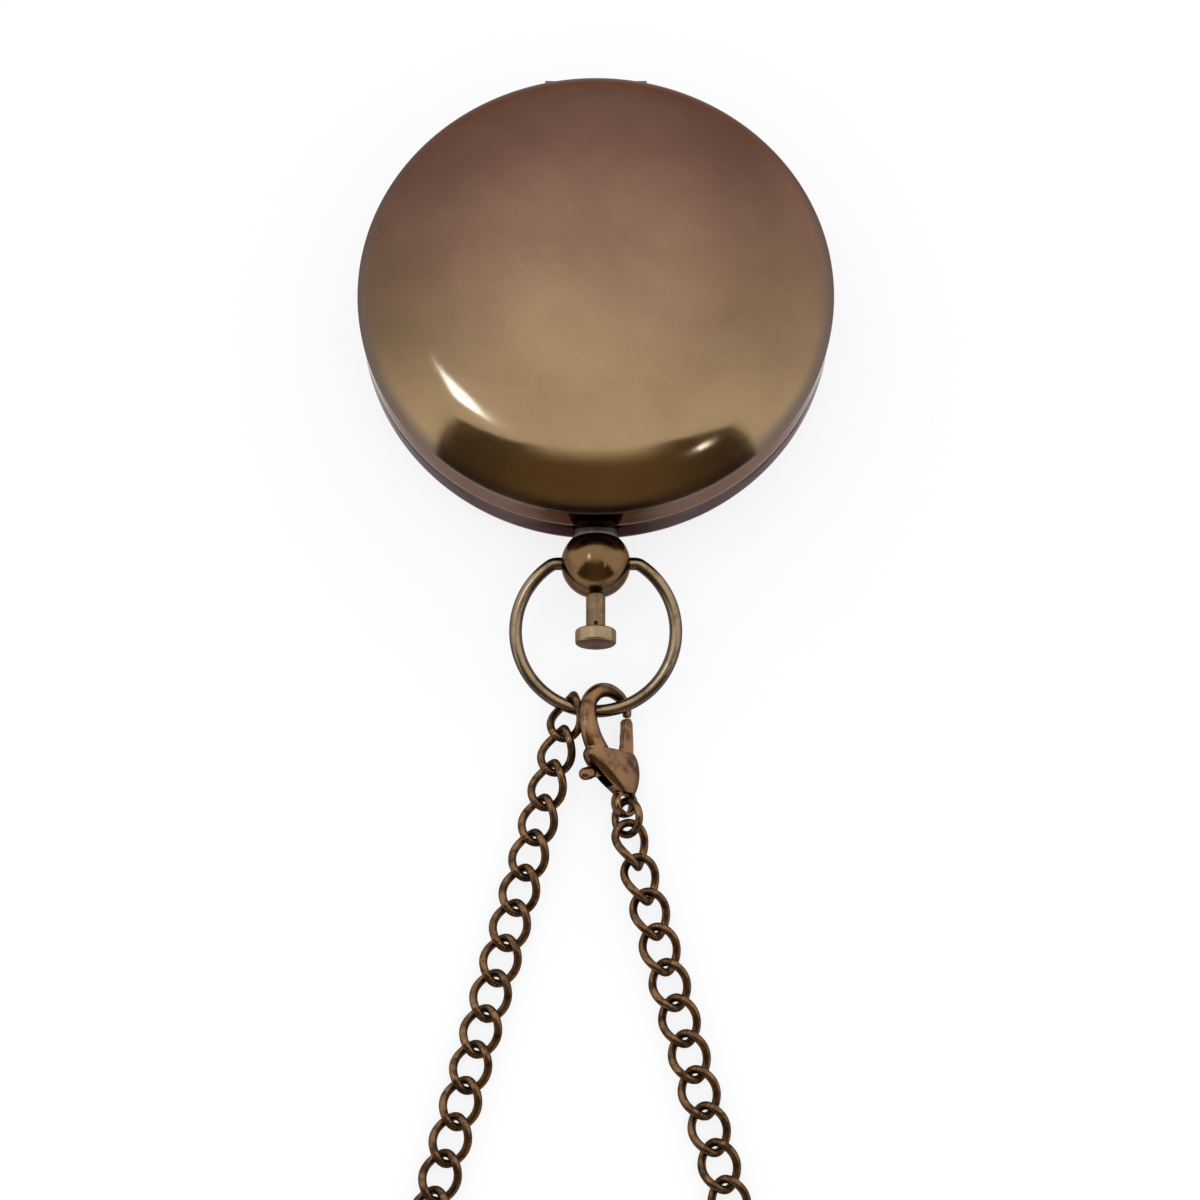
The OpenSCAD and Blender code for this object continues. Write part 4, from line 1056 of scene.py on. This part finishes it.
class COMPASS_OT_pendant(bpy.types.Operator):
    """Collar, ball and push button with its cross pin"""

    bl_idname = "compass.pendant"
    bl_label = "Pendant"

    def execute(self, context):
        layout = Layout()
        pendant, stem = layout.pendant, layout.pendant.stem
        refinish("collar", "neck_collar")
        refinish("ball", "pendant_ball")
        refinish("stem", "button_stem")
        refinish("pin", "head_pin")
        refinish("steel", "stem_clip", "return_spring")

        length, radius, inner = pendant.head_length, pendant.head, pendant.head - HEAD_ROUNDING
        profile = [(0, 0), (inner, 0)]
        profile += arc((inner, HEAD_ROUNDING), HEAD_ROUNDING, -90, 0, 8, 1)
        profile += arc((inner, length - HEAD_ROUNDING), HEAD_ROUNDING, 0, 80, 8)
        profile += [(radius * 0.5, length - 0.01), (0, length)]
        head = mesh_object("button_cap", layout.pendant_turned(layout.head_y, profile, 96))
        dress(head, "button", "button", ["button_head"])

        neck = [(0, -NECK_LENGTH), (stem, -NECK_LENGTH), (stem, -NECK_FILLET)]
        neck += [(stem + NECK_FILLET, NECK_SUNK), (0, NECK_SUNK)]
        shank = mesh_object("button_shank", layout.pendant_turned(layout.head_y, neck, 96))
        low, high = (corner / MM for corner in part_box("head_pin"))
        place = Matrix.Translation((0, (low.y + high.y) / 2, low.z))
        shaped(shank, cut=[turned(bore(high.x + PIN_PLAY, -1, high.z - low.z + 1), 32, place)])
        dress(shank, "button", "stem")
        return {"FINISHED"}


class COMPASS_OT_bow_ring(bpy.types.Operator):
    """Bow ring: one round wire, bent so that both its ends enter the ball"""

    bl_idname = "compass.bow_ring"
    bl_label = "Bow ring"

    def execute(self, context):
        layout = Layout()
        pendant, turn, elbow_x = layout.pendant, layout.elbow_angle, layout.elbow_x
        right = [(RING_INSIDE, 0.0), (elbow_x - ELBOW_LEAD, 0.0)]
        right += arc((elbow_x, -pendant.elbow), pendant.elbow, 90, 90 - turn, 12)
        bow = arc((0, -layout.ring_middle), pendant.ring, 90 - turn, turn - 270, 180, 1)
        left = [(-x, y) for x, y in right[::-1][1:]]
        line = [Vector((x, y, 0)) for x, y in right + bow + left]
        points, faces = swept(line, [pendant.ring_wire] * len(line), 28, Vector((0, 0, 1)))
        place = Matrix.Translation((0, layout.ball_y, layout.pendant_z))
        place = place @ spin(pendant.ring_drop, "X")
        ring = mesh_object("bow_wire", ([place @ p for p in points], faces))
        dress(ring, "bow", "ring", ["bow_ring"])
        return {"FINISHED"}


# Chain


class Route:
    """The chain's way round its loop, and how each link lies in it."""

    strand_offset = 4
    turn_links = 11
    folds = (7, 12, 17, 21)
    rest_gap, hang_play = 0.02, 0.18
    left_ease, left_roll, left_rolled = 6.5, 34, 7
    right_ease, right_roll, right_rolled, right_lift = 6, 38, 4, 0.55

    def __init__(self, layout):
        chain = self.chain = layout.chain
        self.a = (chain.pitch + chain.wire + chain.play) / 2
        self.b = (chain.width - chain.wire) / 2
        half_h = max(abs(self.line(t)[2]) for t in range(0, 360, 5)) + chain.wire / 2
        self.z = half_h + self.rest_gap
        hang = layout.ring_point(-chain.hang_x)
        self.hang_z = hang.z
        hang_s = (chain.hang_x - chain.loop_x) / sind(chain.spread)
        self.cross_y = hang.y + hang_s * cosd(chain.spread)
        self.first_left = hang_s + self.a - layout.pendant.ring_wire - chain.wire / 2 - self.hang_play
        self.first_right = self.first_left + self.strand_offset * chain.pitch - chain.wire - chain.play
        share = math.tan(math.radians(chain.spread)) * math.radians(180 + 2 * chain.spread)
        self.straight = ((chain.count - 1) * chain.pitch + self.first_left + self.first_right) / (2 + share)
        self.turn = self.straight * math.tan(math.radians(chain.spread))
        self.turn_y = self.cross_y - self.straight / cosd(chain.spread)
        self.turn_s = self.straight * share

    def line(self, angle):
        """A point of a link's wire, twisted against itself at both ends."""
        twist = self.chain.twist * cosd(angle)
        side = self.b * sind(angle)
        return Vector((self.a * cosd(angle), side * cosd(twist), -side * sind(twist)))

    def strand(self, s, side):
        slope = self.chain.spread
        return Vector((-self.chain.loop_x + side * s * sind(slope), self.cross_y - s * cosd(slope), 0))

    def heading(self, s):
        slope = self.chain.spread
        if s < self.straight:
            return -90 - slope
        if s > self.straight + self.turn_s:
            return 90 + slope
        return -90 - slope + math.degrees((s - self.straight) / self.turn)

    def point(self, s):
        if s < self.straight:
            return self.strand(s, -1)
        if s > self.straight + self.turn_s:
            return self.strand(2 * self.straight + self.turn_s - s, 1)
        angle = self.heading(s) - 90
        x = -self.chain.loop_x + self.turn * cosd(angle)
        return Vector((x, self.turn_y + self.turn * sind(angle), 0))

    def height(self, s):
        from_left = s - self.first_left
        from_right = 2 * self.straight + self.turn_s - self.first_right - s
        if from_left < from_right:
            top, way = self.hang_z, from_left / (self.left_ease * self.chain.pitch)
        else:
            top, way = self.z + self.right_lift, from_right / (self.right_ease * self.chain.pitch)
        way = min(max(way, 0), 1)
        return top + (self.z - top) * way * way * (3 - 2 * way)

    def roll(self, k):
        left = self.left_roll * (1 - k / self.left_rolled)
        right = self.right_roll * (1 - (self.chain.count - 1 - k) / self.right_rolled)
        return max(left, right, 0)

    def place(self, k):
        """The frame of link number k."""
        s = self.first_left + k * self.chain.pitch
        z1, z2 = self.height(s - self.a), self.height(s + self.a)
        at = self.point(s)
        at.z = (z1 + z2) / 2
        slope = Matrix.Rotation(-math.atan2(z2 - z1, 2 * self.a), 4, "Y")
        return Matrix.Translation(at) @ spin(self.heading(s)) @ slope @ spin(self.roll(k), "X")

    def link(self):
        """One link along X about its own middle."""
        steps = self.chain.steps
        line = [self.line(360 * i / steps) for i in range(steps)]
        ups = []
        for i, at in enumerate(line):
            along = (line[(i + 1) % steps] - line[i - 1]).normalized()
            out = (at - at.dot(along) * along).normalized()
            ups.append(along.cross(out))
        return swept(line, [self.chain.wire / 2] * steps, self.chain.sides, ups, closed=True)

    def mark(self, obj):
        """Notes on each point where it lies round its link, for the marks on the links' ends."""
        sides, steps = self.chain.sides, self.chain.steps
        where = obj.data.attributes.new("link", "FLOAT_VECTOR", "POINT")
        for i, item in enumerate(where.data):
            angle = 360 * (i // sides % steps) / steps
            item.vector = (cosd(angle), sind(angle), 0)

    def links(self, first, last):
        points, faces = self.link()
        shells = []
        for k in range(first, last + 1):
            place = self.place(k)
            shells.append(([place @ p for p in points], faces))
        return merged(*shells)

    def runs(self):
        """(node, body, first link, last link) of each piece of the chain."""
        last, off, folds = self.chain.count - 1, self.strand_offset, self.folds
        bodies = ("chain_upper", "chain_second", "chain_third", "chain_fourth")
        edges = (0,) + folds
        runs = []
        for i, body in enumerate(bodies):
            low, high = edges[i], edges[i + 1] - 1
            runs.append((f"left_links_{i + 1}", body, low, high))
            runs.append((f"right_links_{i + 1}", body, last - (high - off), last - max(low - off, 0)))
        split = folds[3] + self.turn_links
        runs.append(("loop_links_left", "chain_end", folds[3], split - 1))
        runs.append(("loop_links_right", "chain_end", split, last - folds[3] + off))
        return runs


class COMPASS_OT_chain(bpy.types.Operator):
    """Curb chain of sixty twisted links, in stretches that each go to one of the chain's bodies"""

    bl_idname = "compass.chain"
    bl_label = "Chain"

    def execute(self, context):
        route = Route(Layout())
        for node, body, first, last in route.runs():
            piece = mesh_object(node.replace("links", "curb"), route.links(first, last))
            route.mark(piece)
            dress(piece, body, "chain", [node])
        return {"FINISHED"}


# Clasp, in its own frame: the middle of the hook's opening, +Y to the hook's top


# Shares of its width across, of its length along and of its thickness
HOOK_X = (-0.14, -0.32, -0.40, -0.38, -0.23, -0.03, 0.17, 0.285, 0.30)
HOOK_Y = (-0.34, -0.20, -0.05, 0.075, 0.165, 0.196, 0.163, 0.085, 0.03)
HOOK_R = (0.16, 0.148, 0.13, 0.115, 0.105, 0.096, 0.086, 0.076, 0.066)
BODY_Y = (-0.27, -0.32, -0.38, -0.445, -0.515, -0.575)
BODY_LEFT = (-0.40, -0.45, -0.40, -0.27, -0.10, 0.08)
BODY_RIGHT = (0.40, 0.45, 0.475, 0.475, 0.45, 0.40)
BODY_T = (0.84, 0.96, 1.0, 0.96, 0.82, 0.64)
GATE = (
    (-0.095, 0), (0.14, 0), (0.146, 0.16), (0.131, 0.335),
    (0.092, 0.365), (0.023, 0.362), (-0.008, 0.34), (-0.03, 0.16),
)
TAIL = ((0, 0.055), (-0.63, -0.096), (-0.59, -0.146), (0, -0.065))
EYE, PIVOT, KNOB = (0.25, -0.645), (0.246, -0.355), (-0.645, -0.118)
EYE_R, EYE_HOLE, EYE_T = 0.195, 0.118, 0.46

# Millimetres, and degrees of the trigger's swing
HUB_R, KNOB_R, KNOB_HALF = 0.8, 0.60, (0.26, 0.22)
POCKET_PLAY, POCKET_SIDE, POCKET_SWINGS = 0.1, 0.2, (0, 7, 14, 20)
LEVER_DROP, LEVER_GRAIN = 0.1, 0.06
HOOK_DROP = 0.6


class ClaspShape:
    """Shells of the clasp, in millimetres in its own frame."""

    def __init__(self, layout):
        clasp = self.clasp = layout.clasp
        self.eye, self.pivot = self.at(*EYE), self.at(*PIVOT)
        self.eye_middle = (EYE_R * clasp.width + EYE_HOLE * clasp.width) / 2
        self.eye_half = (EYE_R * clasp.width - EYE_HOLE * clasp.width) / 2
        at = layout.ring_point(clasp.place) - Vector((0, HOOK_DROP, 0))
        self.place = Matrix.Translation(at) @ spin(clasp.roll, "Y")

    def at(self, x, y):
        """The place at a share of the clasp's width and of its length."""
        return Vector((x * self.clasp.width, y * self.clasp.length, 0))

    def put(self, shell, at=Vector((0, 0, 0))):
        return [self.place @ (Vector(p) + at) for p in shell[0]], shell[1]

    def hook(self):
        x, y, r = (smooth(values, 8) for values in (HOOK_X, HOOK_Y, HOOK_R))
        line = [self.at(a, b) for a, b in zip(x, y)]
        radii = [c * self.clasp.width for c in r]
        end, last = line[-1], radii[-1]
        tip = (end - line[-2]).normalized()
        for turn in (30, 60, 80):
            line.append(end + tip * last * 0.5 * sind(turn))
            radii.append(last * cosd(turn))
        return swept(line, radii, 32, Vector((0, 0, 1)), 0.8)

    def body(self):
        """The loft from the flat top of the body down to the eye."""
        clasp, sides = self.clasp, 64
        rows = [smooth(values, 5) for values in (BODY_Y, BODY_LEFT, BODY_RIGHT, BODY_T)]
        points = []
        for y, left, right, thick in zip(*rows):
            for j in range(sides):
                a = TAU * j / sides
                across = (left + right) / 2 + (right - left) / 2 * boxy(math.cos(a))
                high = clasp.thickness / 2 * thick * boxy(math.sin(a))
                points.append((across * clasp.width, y * clasp.length, high))
        return points, ring_faces(len(rows[0]), sides)

    def eye_ring(self):
        high = EYE_T * self.clasp.thickness / 2
        section = [
            (self.eye_middle + self.eye_half * boxy(cosd(a)), high * boxy(sind(a))) for a in range(0, 360, 15)
        ]
        return turned(section, 64, Matrix.Translation(self.eye))

    def outlines(self, grow=0.0):
        """Hub, gate and tail of the trigger about its pivot."""
        radius = HUB_R + grow
        hub = [(radius * cosd(a), radius * sind(a)) for a in range(0, 360, 10)]
        flat = [[tuple(self.at(x, y).xy) for x, y in outline] for outline in (GATE, TAIL)]
        return [hub] + [grown(outline, grow) if grow else outline for outline in flat]


class COMPASS_OT_clasp(bpy.types.Operator):
    """Cast clasp with its hook, hollow body, eye, trigger and rivet"""

    bl_idname = "compass.clasp"
    bl_label = "Clasp"

    def execute(self, context):
        layout = Layout()
        shape, clasp = ClaspShape(layout), layout.clasp
        shells = [shape.put(shell) for shell in (shape.hook(), shape.body(), shape.eye_ring())]
        body = mesh_object("clasp_casting", merged(*shells))
        cast(body, clasp.voxel, 5)
        pocket = []
        half = clasp.lever / 2 + POCKET_SIDE
        for swing in POCKET_SWINGS:
            for outline in shape.outlines(POCKET_PLAY):
                pocket.append(shape.put(prism(outline, -half, half, spin(swing)), shape.pivot))
        shaped(body, cut=pocket)
        dress(body, "chain_upper", "clasp", ["clasp_body"], sharp=40)

        half, at = clasp.lever / 2, shape.pivot - Vector((0, 0, LEVER_DROP))
        solids = [shape.put(prism(outline, -half, half), at) for outline in shape.outlines()]
        knob = shape.at(*KNOB)
        turn = Matrix.Rotation(math.atan2(knob.y, knob.x) - math.pi / 2, 4, "Z")
        turn = turn @ Matrix.Rotation(-math.pi / 2, 4, "X")
        peg = arc((0, KNOB_HALF[0]), KNOB_R, 90, 0, 8) + arc((0, -KNOB_HALF[1]), KNOB_R, 0, -90, 8)
        solids.append(shape.put(turned(peg, 40, Matrix.Translation(knob) @ turn), at))
        trigger = mesh_object("clasp_lever", merged(*solids))
        cast(trigger, LEVER_GRAIN, 4)
        dress(trigger, "trigger", "clasp", ["clasp_trigger"], sharp=50)
        refinish("clasp", "clasp_rivet")
        refinish("steel", "clasp_spring")
        return {"FINISHED"}


JUMP_LEAN, JUMP_SHIFT, JUMP_REST = 46, (0.2, 0.1), 0.02


class COMPASS_OT_jump_ring(bpy.types.Operator):
    """Round jump ring between the clasp's eye and the chain"""

    bl_idname = "compass.jump_ring"
    bl_label = "Jump ring"

    def execute(self, context):
        layout = Layout()
        clasp, shape, route = layout.clasp, ClaspShape(layout), Route(layout)
        wall = shape.place @ (shape.eye - Vector((0, shape.eye_middle, 0)))
        top = route.strand(route.first_right - route.a, 1)
        along = Vector((top.x - wall.x, top.y - wall.y, 0)).normalized()
        lean = Vector((cosd(JUMP_LEAN), 0, sind(JUMP_LEAN)))
        rise = (lean - lean.dot(along) * along).normalized()
        x, y = ((a + b) / 2 + shift for a, b, shift in zip(wall, top, JUMP_SHIFT))
        middle = Vector((x, y, clasp.jump * sind(JUMP_LEAN) + clasp.jump_wire / 2 + JUMP_REST))
        line = [middle + clasp.jump * (cosd(a) * along + sind(a) * rise) for a in range(0, 360, 6)]
        shell = swept(line, [clasp.jump_wire / 2] * len(line), 24, along.cross(rise), closed=True)
        dress(mesh_object("jump_wire", shell), "chain_upper", "chain", ["jump_ring"])
        return {"FINISHED"}


# Dial


class COMPASS_OT_works(bpy.types.Operator):
    """Plate, dial ring, bezel, glass, post and springs: the frame's own shapes in their metals"""

    bl_idname = "compass.works"
    bl_label = "Works"

    def execute(self, context):
        refinish("brass", "dial_plate", "dial_ring", "bezel_ring", "needle_hub")
        refinish("steel", "pivot_post", "lift_spring", "spring_screws", "lid_catch", "lock_spring")
        refinish("paper", "dial_card")
        refinish("glass", "crystal")
        refinish("jewel", "cap_jewel")
        return {"FINISHED"}


INK = 0.02
MARKS_R = 16.9
# Every so many marks, how long and half how wide one is
MARKS = ((15, 1.5, 0.10), (5, 1.1, 0.06), (1, 0.6, 0.035))
CIRCLES = ((17.1, 0.09), (10.6, 0.05), (5.4, 0.05))
# Length and waist of the rose's long and short points
POINTS = ((10.2, 1.55), (7.4, 1.2))
POINT_ROOT, POINT_OUT = 1.4, 0.35
LETTER_GROWTH, LETTER_INK = 1.35, 0.01


class COMPASS_OT_dial_print(bpy.types.Operator):
    """Printed rose, degree ring and letters on the dial card"""

    bl_idname = "compass.dial_print"
    bl_label = "Dial print"

    def execute(self, context):
        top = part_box("dial_card")[1].z / MM
        low, high = top - INK, top + INK
        black, red = [], []

        def flat(outline, turn):
            return prism(outline, low, high, spin(turn))

        for k in range(180):
            long, wide = next(mark[1:] for mark in MARKS if k % mark[0] == 0)
            black.append(flat(rectangle(-wide, wide, MARKS_R - long, MARKS_R), 2 * k))
        for radius, width in CIRCLES:
            black.append(turned(rectangle(radius, radius + width, low, high), 160))
        for k in range(8):
            long, waist = POINTS[k % 2]
            side = sind(22.5) * waist / sind(45) * 1.3
            black.append(flat([(0, POINT_ROOT), (side, waist + POINT_OUT), (0, long)], 45 * k))
            red.append(flat([(0, long), (-side, waist + POINT_OUT), (0, POINT_ROOT)], 45 * k))
        for name, shells, ink in (("black", black, "ink"), ("red", red, "red_ink")):
            dress(mesh_object(f"dial_print_{name}", merged(*shells)), "case", ink)
        for word in self.words():
            self.letter(*word, high)
        return {"FINISHED"}

    def words(self):
        """(text, bearing, distance out, height) of each word on the dial."""
        words = [(name, 90 * k, 13.0, 2.7) for k, name in enumerate(("N", "E", "S", "W"))]
        words += [(name, 45 + 90 * k, 12.7, 1.5) for k, name in enumerate(("NE", "SE", "SW", "NW"))]
        words += [(str(a), a, 14.9, 0.85) for a in range(30, 360, 30)]
        return words + [("360", 0, 14.9, 0.85)]

    def letter(self, text, bearing, reach, size, z):
        curve = bpy.data.curves.new(f"dial_{text}", "FONT")
        curve.body = text
        curve.align_x, curve.align_y = "CENTER", "CENTER"
        curve.size = size * LETTER_GROWTH * MM
        curve.extrude = LETTER_INK * MM
        obj = placed(f"dial_{text}", curve)
        obj.matrix_world = spin(-bearing) @ Matrix.Translation((0, reach * MM, z * MM))
        mesh = evaluated_mesh(obj)
        mesh.transform(obj.matrix_world)
        bpy.data.objects.remove(obj)
        bpy.data.curves.remove(curve)
        dress(placed(f"dial_{text}_{bearing}", mesh), "case", "ink")


HUB_HOLE, EDGE_SHARE = 0.92, 0.3


class COMPASS_OT_needle(bpy.types.Operator):
    """Thin lozenge needle, creased along its middle"""

    bl_idname = "compass.needle"
    bl_label = "Needle"

    def execute(self, context):
        low, high = (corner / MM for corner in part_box("needle"))
        edge_z = low.z + EDGE_SHARE * (high.z - low.z)
        corners = [Vector(at) for at in ((high.x, 0), (0, high.y), (-high.x, 0), (0, -high.y))]
        sides, quarter = 24, 6
        points, faces = [], []
        for k in range(sides):
            x, y = HUB_HOLE * math.cos(TAU * k / sides), HUB_HOLE * math.sin(TAU * k / sides)
            corner, along = divmod(k, quarter)
            edge = corners[corner].lerp(corners[(corner + 1) % 4], along / quarter)
            points += [(x, y, low.z), (x, y, high.z), (*edge, edge_z), (*edge, low.z)]
            a, b = 4 * k, 4 * ((k + 1) % sides)
            faces += [(a + i, b + i, b + (i + 1) % 4, a + (i + 1) % 4) for i in range(4)]
        blade = mesh_object("needle_blade", (points, faces))
        dress(blade, "needle", "needle", ["needle"], sharp=12)
        return {"FINISHED"}


# Stage


TABLE_REACH, TABLE_Z = 1400, -0.02
# How much of the table's own light and of its shading the camera sees
TABLE_GLOW, TABLE_CLEAR = 0.80, 0.72
# The card's corners, as shares of its distance
CARD = (
    (-0.84, -0.545, 0.10), (-0.683, -0.249, 1.0), (-0.295, -0.214, 1.0), (-0.10, -0.10, 1.0),
    (0.12, -0.10, 1.0), (0.325, -0.203, 1.0), (0.761, -0.355, 1.0), (0.84, -0.545, 0.10),
)
CARD_FAR, CARD_GLOW = 420, 0.8
CARD_MIDDLE, CARD_SIDE = (0.26, 0.185, 0.090, 1), (0.115, 0.083, 0.050, 1)


class COMPASS_OT_stage(bpy.types.Operator):
    """White table, plain light, softboxes, dark card and camera"""

    bl_idname = "compass.stage"
    bl_label = "Stage"

    def execute(self, context):
        studio = context.scene.compass_studio
        self.table()
        self.daylight(studio)
        self.card()
        self.softbox("left_softbox", (-0.359, 0.073, 0.930), 520, (88, 72), studio.softbox, (0.45, 0.62, 1.0))
        self.softbox("right_lamp", (0.475, -0.410, 0.778), 262, (13, 22), studio.softbox, (0.60, 0.70, 0.95))
        self.softbox("top_softbox", (0.5, -0.9, 1.6), 700, (320, 320), 0.9, seen=False)
        self.camera(studio)
        context.scene.view_settings.view_transform = "Standard"
        return {"FINISHED"}

    def shown(self, wires):
        """1 where the camera, a shine or a glass looks, 0 for the light that the object gets."""
        rays = wires.node("LightPath").outputs
        seen = wires.math("MAXIMUM", rays["Is Camera Ray"], rays["Is Glossy Ray"])
        return wires.math("MAXIMUM", seen, rays["Is Transmission Ray"])

    def table(self):
        reach = TABLE_REACH
        corners = [(x, y, TABLE_Z) for x, y in rectangle(-reach, reach, -reach, reach)]
        floor = mesh_object("table", (corners, [(0, 1, 2, 3)]))
        skin = Surface("table", Roughness=0.9, Emission_Color=WHITE)
        white = tint("floor")
        whole = skin.mix(skin.noise(skin.place(), 0.02, detail=2, rough=0.5), white, shade(white, 0.97))
        shown = self.shown(skin)
        skin.feed("Base Color", skin.mix(skin.times(shown, TABLE_CLEAR), whole, BLACK))
        skin.feed("Emission Strength", skin.times(shown, TABLE_GLOW))
        floor.data.materials.append(skin.material)

    def daylight(self, studio):
        world = bpy.data.worlds.new("studio")
        world.use_nodes = True
        wires = Wiring(world.node_tree)
        sky = world.node_tree.nodes["Background"].inputs
        level = wires.node("Mix", {0: self.shown(wires), 2: studio.ambient, 3: 1.0}, data_type="FLOAT")
        wires.put(sky["Color"], WHITE)
        wires.put(sky["Strength"], level.outputs[0])
        bpy.context.scene.world = world

    def card(self):
        """Dark card over and behind the camera, which the lid's dome and the ball mirror."""
        corners = [tuple(CARD_FAR * c for c in p) for p in CARD]
        card = mesh_object("flag", (corners, [tuple(range(len(corners)))]))
        skin = Surface("brown_card", Roughness=0.95, Emission_Color=WHITE)
        x, y, _ = skin.axes(skin.place())
        away = skin.size(x)
        skin.feed("Base Color", skin.mix(skin.span(away, 30.0, 220.0), CARD_MIDDLE, CARD_SIDE))
        # Painted light: the card's middle glows a little, seen only in reflections
        painted_card_light = skin.times(skin.span(y, -150.0, -40.0), skin.span(away, 120.0, 60.0), CARD_GLOW)
        skin.feed("Emission Strength", painted_card_light)
        card.data.materials.append(skin.material)
        card.visible_camera = False
        card.visible_diffuse = False
        card.visible_shadow = False

    def softbox(self, name, towards, distance, size, strength, hue=(1, 1, 1), seen=True):
        """A rectangular lamp of plain brightness 'strength', that faces the compass."""
        lamp = bpy.data.lights.new(name, "AREA")
        lamp.shape, lamp.size, lamp.size_y = "RECTANGLE", size[0] * MM, size[1] * MM
        lamp.energy = strength * math.pi * lamp.size * lamp.size_y
        lamp.color = hue
        obj = placed(name, lamp)
        obj.location = Vector(towards).normalized() * distance * MM
        obj.rotation_euler = obj.location.to_track_quat("Z", "Y").to_euler()
        obj.visible_glossy = seen

    def camera(self, studio):
        camera = bpy.data.cameras.new("camera")
        camera.lens, camera.sensor_width, camera.sensor_height = studio.lens, 36, 36
        camera.sensor_fit = "HORIZONTAL"
        camera.clip_start, camera.clip_end = 0.005, 10
        obj = placed("camera", camera)
        obj.location = Vector(studio.camera_at) * MM
        obj.rotation_euler = (math.radians(studio.tilt), 0, 0)
        bpy.context.scene.camera = obj


STEPS = (
    COMPASS_OT_lid,
    COMPASS_OT_back,
    COMPASS_OT_pendant,
    COMPASS_OT_bow_ring,
    COMPASS_OT_chain,
    COMPASS_OT_clasp,
    COMPASS_OT_jump_ring,
    COMPASS_OT_works,
    COMPASS_OT_dial_print,
    COMPASS_OT_needle,
    COMPASS_OT_stage,
)


class COMPASS_PT_panel(bpy.types.Panel):
    """Lists the compass's settings and steps"""

    bl_label = "Pocket Compass"
    bl_idname = "COMPASS_PT_panel"
    bl_space_type = "VIEW_3D"
    bl_region_type = "UI"
    bl_category = "Compass"

    def draw(self, context):
        for name in SETTINGS:
            box = self.layout.box()
            box.label(text=name.replace("compass_", "").title())
            group = getattr(context.scene, name)
            for key in group.bl_rna.properties.keys():
                if key not in ("rna_type", "name"):
                    box.prop(group, key)
        for step in STEPS:
            self.layout.operator(step.bl_idname)


def register():
    for name, group in SETTINGS.items():
        bpy.utils.register_class(group)
        setattr(bpy.types.Scene, name, bpy.props.PointerProperty(type=group))
    for step in STEPS:
        bpy.utils.register_class(step)
    bpy.utils.register_class(COMPASS_PT_panel)


def unregister():
    bpy.utils.unregister_class(COMPASS_PT_panel)
    for step in reversed(STEPS):
        bpy.utils.unregister_class(step)
    for name, group in reversed(SETTINGS.items()):
        delattr(bpy.types.Scene, name)
        bpy.utils.unregister_class(group)


def main():
    register()
    for step in STEPS:
        group, name = step.bl_idname.split(".")
        getattr(getattr(bpy.ops, group), name)()


if __name__ == "__main__":
    main()
